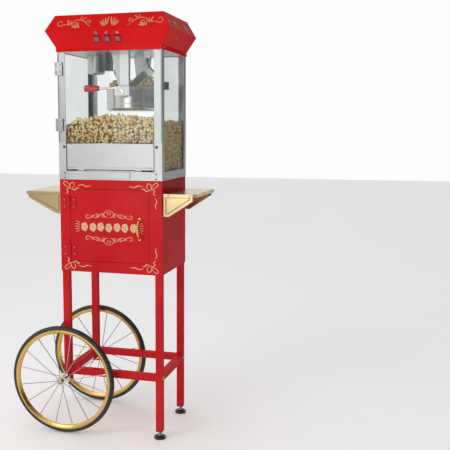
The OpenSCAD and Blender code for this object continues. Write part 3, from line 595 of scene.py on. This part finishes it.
def spiral(cx, cy, r0, r1, start, turns, n=28):
    """Points winding from radius r0 to r1; the angles are in turns."""
    out = []
    for i in range(n + 1):
        r = r0 + (r1 - r0) * i / n
        t = 2 * math.pi * (start + turns * i / n)
        out.append(Vector((cx + r * math.cos(t), cy + r * math.sin(t))))
    return out


def plane(origin, right, up):
    """A placer from (u, v, height) on a flat face to cart millimetres; the height goes out of the face."""
    o, r, u = Vector(origin), Vector(right).normalized(), Vector(up).normalized()
    n = r.cross(u)
    return lambda a, b, h: tuple(o + r * a + u * b + n * h)


X, Y, Z = (1, 0, 0), (0, 1, 0), (0, 0, 1)


def moved(place, u, v=0.0, su=1, sv=1):
    """A placer whose origin lies at (u, v) on another's face; su or sv of -1 mirrors it."""
    return lambda a, b, h: place(u + su * a, v + sv * b, h)


SCREW = [(1.0, -0.05), (1.0, 0.25), (0.86, 0.55), (0.62, 0.68)]


def screw(form, place, r, at=(0, 0), turn=0.4):
    """A pan head with a sunk cross."""
    x, y = at

    def ring(k, h):
        return [(x + r * k * math.cos(t), y + r * k * math.sin(t), h * r) for t in circle(24)]

    def cross(h):
        star = []
        for i, t in enumerate(circle(24)):
            reach = {0: 0.46, 1: 0.34, 5: 0.34}.get(i % 6, 0.14) * r
            star.append((x + reach * math.cos(t + turn), y + reach * math.sin(t + turn), h * r))
        return star

    form.loft([ring(k, h) for k, h in SCREW] + [cross(0.70), cross(0.35)], place)


def rivet(form, place, r, at=(0, 0), h=0.5):
    form.lathe([(r, -0.05), (r, h * r * 0.3), (r * 0.8, h * r * 0.75), (r * 0.4, h * r)], place, 20, at)


# -------- planes of the object

BODY_Y = CAB_LO.y * 1000
CAB_X = (CAB_HI.x - CX) * 1000
FRONT = plane((0, BODY_Y, 0), X, Z)
LEGS = mm("cart_legs")
TUBE_W = 25
LEG_X = LEGS[1][0] - TUBE_W / 2
LEG_Y = (LEGS[0][1] + TUBE_W / 2, LEGS[1][1] - TUBE_W / 2)
AXLE = centre("axle")
KETTLE_X = centre("stirrer").x
POSTS = mm("corner_posts")
CASE = plane((0, POSTS[0][1], 0), X, Z)
CASE_RIGHT = plane((POSTS[1][0], 0, 0), Y, Z)
CASE_LEFT = plane((POSTS[0][0], 0, 0), (0, -1, 0), Z)
CASE_BACK = plane((0, POSTS[1][1], 0), (-1, 0, 0), Z)


def slopes(low, high):
    """The canopy's front, right and left faces between two levels of (half width, half depth, height)."""
    (x0, y0, z0), (x1, y1, z1) = low, high
    return (plane((0, -y0, z0), X, (0, y0 - y1, z1 - z0)),
            plane((x0, 0, z0), Y, (x1 - x0, 0, z1 - z0)),
            plane((-x0, 0, z0), (0, -1, 0), (x0 - x1, 0, z1 - z0)))


CANOPY = mm("canopy")
LIP = (202, 157, CANOPY[0][2] + 16)
FOLD = (CANOPY[1][0], CANOPY[1][1], CANOPY[0][2] + 72)
TOP = (205, 150, CANOPY[1][2])
CROWN, CROWN_RIGHT, CROWN_LEFT = slopes(FOLD, TOP)
SKIRT, SKIRT_RIGHT, SKIRT_LEFT = slopes(LIP, FOLD)


# -------- printed ornaments

def canopy_scroll(form, place):
    """One generic acanthus scroll: a hooked end, two leaves, a spiral and a small curl."""
    form.strokes([
        (spiral(197, 31, 14, 6, -0.42, 0.95)[::-1] + curve([(184, 24), (172, 24), (160, 21)]), 2.6),
        (spiral(137, 24, 17, 4, 0.2, -1.25), 2.8),
        ([(158, 22), (150, 34), (137, 42), (118, 41), (104, 33), (92, 22), (78, 12)], 2.4),
        (spiral(88, 33, 9, 2.5, -0.1, 1.1), 2.2),
        ([(170, 23), (166, 33), (172, 44)], 4.4),
        ([(166, 22), (158, 30), (157, 40)], 3.6),
        ([(132, 24), (128, 14), (120, 9)], 5.0),
        ([(136, 22), (137, 12), (133, 6)], 5.0),
        ([(140, 23), (147, 14), (148, 8)], 4.2),
        ([(112, 40), (108, 48), (100, 52)], 3.2),
        ([(118, 41), (120, 50), (115, 56)], 2.8),
    ], place)


def fan(form, place):
    """Half of the middle ornament: four blades that spread from one foot."""
    blades = (((22, 15), (15, 52)), ((26, 14), (27, 47)), ((30, 14), (38, 41)), ((33, 14), (46, 33)))
    lines = [[a, ((a[0] + b[0]) / 2 - 1.5, (a[1] + b[1]) / 2), b] for a, b in blades]
    form.strokes([(line, 4.6) for line in lines], place, 0.26)


def side_spray(form, place):
    """Four leaves that meet at a small curl."""
    leaves = [((-8, 34), (4, 24), (20, 18)), ((-2, 44), (2, 32), (12, 22)),
              ((10, 40), (10, 30), (18, 20)), ((24, 36), (18, 28), (20, 18))]
    form.strokes([(leaf, 4.0 - 0.4 * i) for i, leaf in enumerate(leaves)], place, 0.25)
    form.ribbon(spiral(26, 14, 7, 2, 0.3, -1.1), 2.0, place, 0.34)


def canopy_ornaments():
    """A mirrored pair of scrolls and fans in front and two sprays on each side."""
    form = Form()
    for place in (CROWN, moved(CROWN, 20, su=-1)):
        canopy_scroll(form, place)
        fan(form, place)
    for place in (CROWN_RIGHT, CROWN_LEFT):
        for shift in (-72, 68):
            side_spray(form, moved(place, shift))
    form.piece("canopy_ornaments", "ink_canopy", "root", "gold_plate")


def corner_bow(form, place, tail):
    """A corner ornament, drawn for the upper right corner: two loops and wavy tails."""
    strokes = [
        ([(150, 925), (141, 938), (145, 950), (156, 945), (158, 930), (150, 925)], 2.6),
        ([(156, 930), (170, 934), (183, 945), (178, 953), (165, 946), (156, 930)], 2.6),
        ([(152, 928), (140, 922), (130, 930), (122, 927)], 3.6),
        ([(128, 937), (110, 942), (94, 936), (74, 938)], 3.0),
        ([(158, 930), (170, 924), (166, 914), (174, 907)], 3.0),
        ([(172, 900), (178, 886), (173, 872), (176, 858)], 3.2),
    ]
    form.strokes(strokes if tail else strokes[:-1], place)


def corner_ornaments():
    """A bow in each corner; the two over and under the hinges have no long tail."""
    z = centre("cart_cabinet").z
    form = Form()
    for place in (FRONT, moved(FRONT, 0, 2 * z, sv=-1)):
        corner_bow(form, place, True)
        corner_bow(form, moved(place, 0, su=-1), False)
    form.piece("corner_ornaments", "ink", "root", "gold_plate")


def puff(form, crease, at, turn, place):
    """The outline of one popped kernel with its creases."""
    x, y = at
    lobes = 5
    edge = []
    for t in circle(60):
        r = 1 + 0.17 * abs(math.cos(lobes * (t + turn) / 2)) - 0.09 * math.cos(t - 2 * turn)
        edge.append((11.6 * r * math.cos(t), 14.4 * r * math.sin(t)))
    form.loft([[(x + a * k, y + b * k, h) for a, b in edge] for k, h in ((1, -0.1), (0.96, 0.3))], place)
    for k in range(3):
        t = turn + 2 * math.pi * (k + 0.2) / 3
        line = []
        for reach, bend in ((0.12, 0.9), (0.5, 0.35), (1.0, 0)):
            line.append((x + 8.6 * math.cos(t + bend) * reach, y + 10.8 * math.sin(t + bend) * reach))
        crease.ribbon(curve(line), 2.4, lambda a, b, h: place(a, b, h + 0.3), 0.12 + 0.02 * k)


def door_ornaments():
    """A row of seven popped kernels between two scrollwork bands and short rays."""
    mid_x, mid_z = -6.5, 787
    form, crease = Form(), Form()
    for i in range(7):
        puff(form, crease, (mid_x + 31.6 * (i - 3), mid_z), 1.3 * i, FRONT)
    for s in (1, -1):
        for m in (1, -1):
            place = moved(FRONT, mid_x, mid_z - 1, m, s)
            form.strokes([
                (spiral(84, 41, 8, 4, -0.3, 0.8)[::-1]
                 + curve([(76, 34), (66, 38), (54, 46), (40, 48)]), 2.2),
                ([(68, 40), (52, 36), (40, 40), (30, 50), (18, 52)], 2.2),
                (spiral(44, 44, 7, 2, 0.1, 1.2), 1.9),
                (spiral(22, 45, 7.5, 2, 0.0, -1.2), 1.9),
                ([(2, 38), (14, 40), (22, 48), (14, 58), (0, 66)], 2.2),
                ([(0, 47), (7, 52), (0, 59)], 2.0),
                ([(58, 47), (64, 42), (72, 44)], 2.0),
            ], place, 0.345 if m > 0 else 0.24, 0.015)
    middle = moved(FRONT, mid_x, mid_z)
    rays = ((15, 21, 15), (8, 11, 19), (1, 1, 21), (-6, -9, 19), (-13, -19, 15))
    for m, start, size in ((-1, 114, 1.0), (1, 120, 0.75)):
        for i, (foot, tip, length) in enumerate(rays):
            end = start + length * size
            line = [(m * start, foot), (m * (start + end) / 2, (foot + tip) / 2), (m * end, tip)]
            form.ribbon(curve(line, 3), 2.4, middle, 0.26 + 0.02 * i)
    form.piece("door_ornaments", "ink", "cupboard_door", "gold_plate")
    crease.piece("door_ornament_creases", "ink_dark", "cupboard_door", "gold_plate")


def switch_marks():
    """Plain signs over the rockers: a lamp, a turning arrow and a wave of heat."""
    form = Form()
    for i, x in enumerate((-39, 1, 41)):
        at = moved(SKIRT, x, 47.5)
        if i == 0:
            form.ribbon(spiral(0, 0.8, 3.4, 3.4, -0.2, 0.9), 1.0, at)
            form.box((-1.6, 1.6), (-4.6, -3.2), (-0.1, 0.3), at)
        elif i == 1:
            form.ribbon(spiral(0, 0, 3.8, 3.8, 0.1, 0.78), 1.1, at)
            form.ribbon([Vector((5.6, 1.0)), Vector((3.2, 2.6)), Vector((1.4, 0.4))], 1.2, at, 0.34)
        else:
            for k in (-3, 0, 3):
                form.ribbon(curve([(k, -4), (k + 1.2, -1.4), (k - 1.2, 1.4), (k, 4)]), 1.1, at)
    form.piece("switch_marks", "white", "root", "white_plastic")


# -------- fixings and trim

def cart_fixings():
    """Screws of the cupboard door's two hinges."""
    cabinet, door = Form(), Form()
    leaf = lambda a, b, h: FRONT(a, b, h + 3.5)
    for z in (872.5, 697):
        for s in (-1, 1):
            screw(cabinet, leaf, 3.4, (-178.5, z + s * 13), 0.3)
            screw(door, leaf, 3.4, (-141.5, z + s * 13), 0.8)
    cabinet.piece("cart_hinge_screws", "screw_red", "root", "red_paint")
    door.piece("door_hinge_screws", "screw_red", "cupboard_door", "red_paint")


def rail_bolts():
    """Bolt heads and washers where the two long rails meet the right legs."""
    form = Form()
    right = plane((LEGS[1][0], 0, 0), Y, Z)
    z = centre("lower_rails").z
    for y in LEG_Y:
        form.lathe([(5.2, -0.05), (5.2, 3), (4.4, 3.8), (2, 4.2)], right, 6, (y, z))
        form.lathe([(7.2, -0.05), (7.2, 1), (6.8, 1.2)], right, 24, (y, z))
    form.piece("rail_bolts", "screw", "root", "chrome_plate")


def leg_caps():
    """The nuts and the thread of the two levelling feet."""
    form = Form()
    for y in LEG_Y:
        under = plane((LEG_X, y, 0), X, Y)
        form.lathe([(8.5, 24), (8.5, 27), (8.0, 27.1)], under, 6)
        form.lathe([(9, 12), (9, 15), (7, 17)], under, 24)
        for k in range(6):
            form.lathe([(5.35, 17.3 + k * 1.05), (5.6, 17.7 + k * 1.05), (5.35, 18.1 + k * 1.05)], under, 20)
    form.piece("foot_nuts", "screw", "root", "chrome_plate")


def wheels():
    """Nipples at the rim, rivets in the hub, a bead on the rim and the tyre's side walls."""
    bead = [(185.6, -0.1), (186.2, 0.5), (189, 0.5), (189.6, -0.1)]
    wall = [(191.2, -0.1), (191.7, 0.9), (196, 1.3), (200.5, -0.2), (203.9, -3.8), (202.6, -5), (197, -2)]
    for side in ("front", "rear"):
        low, high = mm(side + "_rim")
        middle = Vector((AXLE.x, (low[1] + high[1]) / 2, AXLE.z))
        body = side + "_wheel"
        hub, beads, walls = Form(), Form(), Form()
        for i, t in enumerate(circle(16)):
            t += math.pi / 16
            s = 1 if i % 2 == 0 else -1
            d = Vector((math.cos(t), 0, math.sin(t)))
            tip = middle + d * 178
            start = middle + Vector((0, -s * 1.4, 0)) + d * 166
            hub.tube([start, start + (tip - start) * 0.15, tip - d * 1.2, tip], 2.3, 10)
            eye = middle + Vector((0, -s * 20, 0)) + d * 16.6
            rivet(hub, plane(eye, (s, 0, 0), Z), 2.3)
        hub.piece(side + "_spoke_nipples", "chrome", body, "chrome_plate", True)
        for s, y in ((-1, low[1]), (1, high[1])):
            out = plane((middle.x, y, middle.z), (-s, 0, 0), Z)
            beads.hoop(bead, out)
            walls.hoop(wall, out)
        beads.piece(side + "_rim_bead", "gold", body, "gold_plate", True)
        walls.piece(side + "_tyre_walls", "tyre", body, "tyre_rubber", True)


def hub_caps():
    """Hexagon nuts and washers on the axle, outside the hubs."""
    form = Form()
    seat = 203.6
    for s in (-1, 1):
        face = plane((AXLE.x, s * seat, AXLE.z), (-s, 0, 0), Z)
        form.lathe([(13, -0.1), (13, 1.4), (12.4, 1.6)], face, 32)
        form.lathe([(11, 1.5), (11, 5.6), (9.6, 6.4), (9.2, 6.4)], face, 6)
    form.piece("axle_nuts", "shelf", "root", "chrome_plate")


def shelf_reach(side):
    """How far the shelf on the left (-1) or the right (1) stands out from the cupboard's wall."""
    low, high = mm("left_shelf" if side < 0 else "right_shelf")
    return high[0] - low[0]


def shelf_fixings():
    """Screws of the shelves and of their brackets."""
    form = Form()
    low, high = mm("right_shelf")
    for m in (-1, 1):
        for n in (-1, 1):
            face = plane((0, n * high[1], 0), (-n, 0, 0), Z)
            for x in (20, shelf_reach(m) - 22):
                screw(form, face, 3.2, (-n * m * (CAB_X + x), low[2] + 6), 0.5)
            wall = plane((m * (CAB_X + 1.2), 0, 0), (0, m, 0), Z)
            for drop in (22, 68):
                screw(form, wall, 3.2, (m * n * 134, high[2] - drop), 0.9)
    form.piece("shelf_screws", "shelf", "root", "shelf_brass")


def gusset_ring(side, inset):
    """A gusset's side view drawn in by inset: distance from the wall and height."""
    high, foot = mm("right_shelf")[1][2], mm("shelf_brackets")[0][2]
    x0, x1, tip, top = 22, shelf_reach(side) - 12.5, high - 24, high - 1.5
    slope = math.atan2(tip - foot, x1 - x0)
    lift = 1 / math.cos(slope)
    return [(inset, top - inset), (x1 - inset, top - inset),
            (x1 - inset, tip + (lift - math.tan(slope)) * inset),
            (x0 + (1 - lift) / math.tan(slope) * inset, foot + inset), (inset, foot + inset)]


def gusset_frames():
    """The groove round each gusset's pressed panel, in a dark brass that is painted shade, and the raised
    rim inside it.
    """
    outer = mm("shelf_brackets")[1][1]
    groove, rim = Form(), Form()
    for form, inset, width, sunk in ((groove, 10.5, 2.2, 1.4), (rim, 13.6, 1.8, 0.4)):
        out = outer - sunk
        for m in (-1, 1):
            ring = gusset_ring(m, inset)
            for n in (-1, 1):
                face = plane((0, n * out, 0), (-n, 0, 0), Z)
                place = moved(face, -n * m * CAB_X, su=-n * m)
                for i, (a, b) in enumerate(zip(ring, ring[1:] + ring[:1])):
                    form.ribbon(straight(a, b, 6), width, place, 0.5 + 0.04 * i, False, False)
    # The grooves' dark brass is painted shade.
    groove.piece("gusset_groove_painted_shade", "shelf_groove", "root", "shelf_brass")
    rim.piece("gusset_rims", "shelf", "root", "shelf_brass")


def case_fixings():
    """Screws of the case's base, its posts and the door's hinges, and the round heads on the front posts."""
    band, side = Form(), Form()
    for x in (-176, 176):
        for z in (984, 967):
            screw(band, CASE, 3.0, (x, z), 0.2 * z)
        rivet(band, CASE, 5.5, (x + (2 if x > 0 else -2), 1080), 0.9)
    for place, low, end in ((CASE_RIGHT, (-134, 80, 134), 140), (CASE_LEFT, (-134, 134), 140),
                            (CASE_BACK, (-134, 134), 184)):
        for u in low:
            screw(side, place, 3.0, (u, 967), 0.7)
        for u in (-end, end):
            screw(side, place, 3.0, (u, 984), 0.5)
            screw(side, place, 3.0, (u, 1410), 0.3)
    # The band screws are near black as painted shade.
    band.piece("band_screws", "screw_dark", "root", "chrome_plate")
    side.piece("case_side_screws", "screw", "root", "chrome_plate")
    leaves, plates = Form(), Form()
    face = plane((0, mm("glass_door")[0][1] - 1.5, 0), X, Z)
    outer = plane((POSTS[0][0] - 1.5, 0, 0), (0, -1, 0), Z)
    for z in (1161.5, 1363.5):
        for dz in (-12.5, 12.5):
            screw(leaves, face, 3.4, (-187, z + dz), 0.6)
            screw(plates, outer, 3.0, (139, z + dz), 0.2)
    leaves.piece("glass_hinge_screws", "screw", "case_door", "chrome_plate")
    plates.piece("post_hinge_screws", "screw", "root", "chrome_plate")


def glass_edges():
    """The ground edges of the door pane."""
    (x0, y0, z0), (x1, y1, z1) = mm("glass_door")
    form = Form()
    e = 0.25
    form.box((x0 - e, x0), (y0, y1), (z0, z1))
    form.box((x1, x1 + e), (y0, y1), (z0, z1))
    form.box((x0 - e, x1 + e), (y0, y1), (z0 - e, z0))
    form.box((x0 - e, x1 + e), (y0, y1), (z1, z1 + e))
    form.piece("door_glass_edges", "pane_edge", "case_door", "clear_glass")


def panel_trim():
    """A rolled hem along the panel's top, its pressed fold lines, and the sill behind its lower edge."""
    (x0, _, z0), (x1, _, z1) = mm("front_panel")
    y = POSTS[0][1] + 1
    face = plane((0, y, 0), X, Z)
    form = Form()
    form.tube([(x, y, z1 - 1.6) for x in (x0 + 1, 0, x1 - 1)], 1.5, 14)
    for z, h in ((1004.5, 0.5), (1007.5, 0.35)):
        form.ribbon(straight((x0 + 4, z), (x1 - 4, z), 8), 1.3, face, h, False, False)
    form.piece("panel_hem", "steel_x", "drop_panel", "stainless", True)
    sill = Form()
    sill.box((-92, 92), (y + 3.4, y + 4), (POSTS[0][2] - 0.2, z0 + 2))
    sill.piece("panel_sill", "steel_x", "root", "stainless")


def drawer_trim():
    """The drawer front's turned edge, round at its lower right corner."""
    (x0, y0, z0), (x1, _, z1) = mm("kernel_drawer")
    face = plane((0, y0, 0), X, Z)
    form = Form()
    r, edge = 6, 2
    arc = []
    for k in range(7):
        t = math.pi / 2 * k / 6
        arc.append((x1 - edge - r + r * math.sin(t), z0 + edge + r - r * math.cos(t)))
    outline = [(x0 + edge, z1 - edge), (x0 + edge, z0 + edge), *arc, (x1 - edge, z1 - edge)]
    line = []
    for a, b in zip(outline, outline[1:] + outline[:1]):
        line += straight(a, b, 4)[:-1]
    form.ribbon(line, 1.4, face, 0.45, True)
    form.piece("drawer_edge", "steel_x", "drawer", "stainless")


def canopy_trim():
    """The screws of the lip at the back and sides, the marks on the skirt's sides and the corner seams."""
    form, seams = Form(), Form()
    x, y, z = LIP
    end_x, end_y = x - 22, y - 22
    for at, right, spots in (((0, y, 0), (-1, 0, 0), (-end_x, 0, end_x)),
                             ((x, 0, 0), Y, (-end_y, end_y)), ((-x, 0, 0), (0, -1, 0), (-end_y, end_y))):
        for u in spots:
            screw(form, plane(at, right, Z), 3.0, (u, z - 7), 0.3)
    form.piece("canopy_lip_screws", "screw", "root", "chrome_plate")
    marks = Form()
    for place in (SKIRT_RIGHT, SKIRT_LEFT):
        for u in (-42, 85):
            for k in range(3):
                x = u + 5 * k - 5
                marks.ribbon(straight((x, 33), (x + 3.6, 37.5), 3), 1.6, place, 0.3, False, False)
    marks.piece("canopy_side_marks", "ink_canopy", "root", "gold_plate")
    for sx in (-1, 1):
        for sy in (-1, 1):
            a, b, c = (Vector((sx * x, sy * y, z)) for x, y, z in (LIP, FOLD, TOP))
            inward = Vector((-sx * 0.55, -sy * 0.55, 0))
            for p, q in ((a, b), (b, c)):
                seams.tube(straight(p + inward, q + inward, 4), 1.05, 10)
    seams.piece("canopy_corner_seams", "canopy", "root", "red_paint", True)


# -------- kettle, lead and lamp

def kettle_details():
    """Screws of the bridge, the clamp block and the lead's connector, beads on the pot, ribs on the grip."""
    form, bolts = Form(), Form()
    knuckle = 4.5
    top = plane((KETTLE_X, 0, mm("lid_bridge")[1][2] - knuckle), X, Y)
    for y in (-88, 88):
        screw(form, top, 3.4, (0, y), 0.6)
    form.lathe([(7.5, -0.05), (7.5, 2.5), (6.5, 3.2)], top, 6)
    block = plane((KETTLE_X, mm("clamp_block")[0][1], 0), X, Z)
    for x, z in ((-20, 1288), (20, 1288), (-20, 1271), (20, 1271)):
        bolts.lathe([(4.2, -0.05), (4.2, 2.2), (3.2, 2.8), (2.0, 2.9)], block, 20, (x, z))
    bolts.lathe([(7.5, -0.05), (7.5, 2.0), (6.5, 2.8), (3, 3.2)], block, 28, (0, 1279))
    form.piece("bridge_screws", "screw", "kettle", "stainless")
    bolts.piece("clamp_bolts", "chrome", "kettle", "chrome_plate")
    seam = Form()
    for z, r, h in ((1235.6, 100.1, 0.7), (1222.0, 100.05, 0.5), (1290.2, 100.1, 0.6)):
        section = [(r - 0.3, z - 1.1), (r + h, z - 0.6), (r + h, z + 0.6), (r - 0.3, z + 1.1)]
        seam.hoop(section, plane((KETTLE_X, 0, 0), X, Y), 120)
    seam.piece("kettle_beads", "kettle", "kettle", "stainless", True)
    socket = Form()
    side = plane((mm("kettle_connector")[1][0], 0, centre("kettle_connector").z), Y, Z)
    for u, v in ((-11, -10), (11, -10), (-11, 10), (11, 10)):
        screw(socket, side, 2.4, (u, v), 0.4)
    socket.piece("connector_screws", "screw", "kettle", "chrome_plate")
    ribs = Form()
    grip = centre("handle_grip")
    for k in range(5):
        place = plane((-104 + 4.2 * k, grip.y, grip.z), Y, Z)
        ribs.hoop([(11.9, 0), (12.35, 0.5), (12.35, 1.6), (11.9, 2.1)], place, 40)
    ribs.piece("grip_ribs", "grip", "kettle", "red_grip", True)


def arm_details():
    """The front hanger arm's cover plate and its two screws; the plate's lighter sheet is a painted
    highlight for the arm's lit front face.
    """
    form = Form()
    low, high = mm("front_arm")
    y, x, half = low[1], KETTLE_X + 5, 16.7
    for dx in (-9, 9):
        screw(form, plane((0, y, 0), X, Z), 3.0, (x + dx, 1414), 0.3)
    form.piece("arm_screws", "screw", "root", "chrome_plate")
    # The cover's lighter sheet is a painted highlight: it stands in for the lit front face of the folded
    # arm.
    cover = Form()
    cover.box((x - half, x + half), (y - 0.4, y + 0.1), (1300, high[2] - 0.4))
    cover.piece("arm_cover_painted_highlight", "bright", "root", "bright_sheet")


def hanging_lead():
    """The kettle's lead: down from the ceiling plug, round a loop and up into the connector."""
    drop = [(111, 1386), (114, 1378), (119, 1370), (126, 1362), (134, 1354), (141, 1345), (146, 1333),
            (149, 1319), (150, 1304), (150, 1289), (150, 1277), (150, 1268)]
    loop = [(149.6, -48.1, 1258.4), (149.3, -42.7, 1250.3), (148.9, -34.6, 1244.9), (148.5, -25, 1243),
            (148.1, -15.4, 1244.9), (147.8, -7.3, 1250.3), (147.4, -1.9, 1258.4), (147, 0, 1268)]
    line = curve([(x, -50, z) for x, z in drop] + loop + [(147, 0, 1278), (147, 0, 1288.8)], 5)
    form = Form()
    form.tube(line, 3, 14)
    ob = form.piece("kettle_lead_tube", "cloth_black", None, "black_rubber", True)
    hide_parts("kettle_lead")
    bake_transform(ob)
    relief = Form()
    under = plane((111, -50, 0), X, Y)
    steps = [(3.4, 1385.4)]
    for k in range(5):
        z = 1387 + 3.4 * k
        steps += [(4.2, z), (4.95, z + 0.5), (4.95, z + 2.0), (4.2, z + 2.5)]
    relief.lathe(steps + [(4.6, 1404.5)], under, 24)
    boot = relief.piece("lead_strain_relief", "gasket", "root", "black_rubber", True)


def lamp_details():
    """The bead round the lamp shade."""
    form = Form()
    low, high = mm("lamp_shade")
    middle, r = centre("lamp_shade"), (high[0] - low[0]) / 2
    bead = [(r + 0.05, 1421), (r + 0.5, 1420.4), (r + 0.5, 1418.6), (r + 0.05, 1418)]
    form.hoop(bead, plane((middle.x, middle.y, 0), X, Y), 64)
    form.piece("shade_bead", "shade", "root", "satin_aluminium", True)


# -------- popcorn

class Corn:
    """Popped kernels: lobed flakes in a few shapes, each placed with its own turn, size and tone."""

    def __init__(self, seed):
        self.rng = np.random.default_rng(seed)
        bm = bmesh.new()
        bmesh.ops.create_icosphere(bm, subdivisions=3, radius=1)
        self.dirs = np.array([v.co for v in bm.verts])
        self.faces = np.array([[v.index for v in f.verts] for f in bm.faces])
        bm.free()
        self.shapes = [self.flake() for _ in range(14)]

    def flake(self):
        """Distance to the skin of a cluster of balls, and how deep in a crease each point lies."""
        n = self.rng.integers(5, 8)
        c = self.rng.normal(size=(n, 3))
        c *= (self.rng.uniform(0.42, 0.66, n) / np.linalg.norm(c, axis=1))[:, None]
        rad = self.rng.uniform(0.34, 0.50, n)
        along = self.dirs @ c.T
        room = along ** 2 - (c ** 2).sum(1) + rad ** 2
        hit = np.where(room > 0, along + np.sqrt(np.maximum(room, 0)), 0.36)
        order = np.sort(hit, axis=1)
        r = np.maximum(order[:, -1], 0.38)
        crease = np.clip((order[:, -1] - order[:, -2]) / 0.16, 0, 1)
        # The tone darkens in the creases and hollows: partly the colour of hull and butter, partly painted
        # shade.
        tone = np.clip(0.15 + 0.5 * crease + 0.5 * (r - 0.4) / 0.6, 0, 1)
        return self.dirs * r[:, None], tone

    def make(self, name, places, body, size=(8.6, 11.4), inside=None):
        """One mesh of flakes at the places; a flake is flattened where it meets the walls in inside."""
        verts, tones, owns = [], [], []
        for p in places:
            shape, tone = self.shapes[self.rng.integers(len(self.shapes))]
            q, _ = np.linalg.qr(self.rng.normal(size=(3, 3)))
            v = (shape * self.rng.uniform(0.8, 1.2, 3)) @ q * self.rng.uniform(*size) + np.array(p)
            if inside is not None:
                v = np.clip(v, inside[0], inside[1])
            verts.append(v)
            tones.append(tone)
            owns.append(np.full(len(tone), self.rng.random()))
        v = np.concatenate(verts) / 1000 + np.array([CX, 0, 0])
        k = len(self.dirs)
        f = np.concatenate([self.faces + i * k for i in range(len(places))])
        mesh = bpy.data.meshes.new(name)
        mesh.from_pydata(v.tolist(), [], f.tolist())
        mesh.shade_smooth()
        for key, data in (("tone", tones), ("own", owns)):
            values = np.concatenate(data).astype(np.float32)
            mesh.attributes.new(key, "FLOAT", "POINT").data.foreach_set("value", values)
        mesh.materials.append(M["corn"])
        ob = new_object(name, mesh)
        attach(ob, body)
        return ob


def heap_top(x, y):
    """Height of the heap: a bank against the door and the right pane, with a low middle under the kettle."""
    xs = [-192, -172, -140, -80, 0, 60, 130, 172, 192]
    bank = np.interp(x, xs, [1143, 1163, 1182, 1190, 1199, 1195, 1188, 1192, 1186])
    base = np.interp(x, [-192, -165, 150, 166, 192], [1140, 1148, 1150, 1171, 1176])
    t = np.clip((y + 124) / 56, 0, 1)
    return bank + (base - bank) * t * t * (3 - 2 * t)


def heap(corn):
    """Flakes along the four panes and over the top, round a core painted dark brown as shade."""
    (x0, y0, z0), (x1, y1, _) = mm("popcorn_heap")
    step, deep = 15.5, 9.0
    jit = lambda s: corn.rng.uniform(-s, s)
    panes = {"front": lambda u, d: (u, y0 + deep + d), "rear": lambda u, d: (u, y1 - deep + d),
             "right": lambda u, d: (x1 - deep + d, u), "left": lambda u, d: (x0 + deep + d, u)}
    places = {}
    for name, at in panes.items():
        u0, u1 = (x0, x1) if name in ("front", "rear") else (y0, y1)
        places[name] = []
        for u in np.arange(u0 + 8, u1 - 4, step):
            for z in np.arange(z0 + 7, heap_top(*at(u, 0)) - 10, step * 0.92):
                a, b = u + jit(4), z + jit(4)
                places[name].append((*at(a, jit(2.5)), b))
    tops = []
    for x in np.arange(x0 + 8, x1 - 4, step - 1.5):
        for y in np.arange(y0 + 8, y1 - 4, step - 1.5):
            a, b = x + jit(5), y + jit(5)
            tops.append((a, b, heap_top(a, b) - 8 + jit(4.5)))
    half = len(tops) // 2
    places["top_a"], places["top_b"] = tops[:half], tops[half:]
    inside = (np.array([x0 + 0.3, y0 + 0.3, z0 + 0.3]), np.array([x1 - 0.3, y1 - 0.3, 1400]))
    for name, spots in places.items():
        ob = corn.make("popcorn_" + name, spots, "root", inside=inside)
        if name == "front":
            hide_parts("popcorn_heap")
    # A sheet under the flakes, painted dark brown as the shade deep inside the heap.
    core = Form()
    inset = 11
    xs = np.linspace(x0 + inset, x1 - inset, 18)
    ys = np.linspace(y0 + inset, y1 - inset, 14)
    rings = []
    for y in ys:
        rings.append([(x, y, heap_top(x, y) - 14) for x in xs] + [(x, y, z0 + 1) for x in xs[::-1]])
    core.loft(rings)
    core.piece("popcorn_core", "corn_deep", "root", "popcorn")


def kettle_corn(corn):
    """Popcorn filling the kettle and pushing up both lids."""
    rng = corn.rng
    humps = ((1, "right", 46, 56, 27, 52), (-1, "left", 33, 76, 20, 46))
    for side, name, rise, u_mid, u_wide, y_wide in humps:
        places = []
        for u in np.arange(26, 88, 12.5):
            for y in np.arange(-86, 87, 12.5):
                if math.hypot(u, y) > 88:
                    continue
                lift = rise * math.exp(-((u - u_mid) / u_wide) ** 2 - (y / y_wide) ** 2)
                top = min(1290 + lift, 1301.5 + (u - 9.5) * 1.19 - 17)
                for z in np.arange(top, 1276, -11.5)[:5]:
                    x = KETTLE_X + side * (u + rng.uniform(-3, 3))
                    places.append((x, y + rng.uniform(-3, 3), z + rng.uniform(-2, 2)))
        ob = corn.make("kettle_corn_" + name, places, "kettle", (8.0, 10.6))
        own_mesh(ob)


camera()
materials()
lights()
floor()
dress()

canopy_ornaments()
canopy_trim()
switch_marks()
corner_ornaments()
door_ornaments()
cart_fixings()
rail_bolts()
leg_caps()
wheels()
hub_caps()
shelf_fixings()
gusset_frames()
case_fixings()
glass_edges()
panel_trim()
drawer_trim()
kettle_details()
arm_details()
lamp_details()
hanging_lead()
CORN = Corn(7)
heap(CORN)
kettle_corn(CORN)
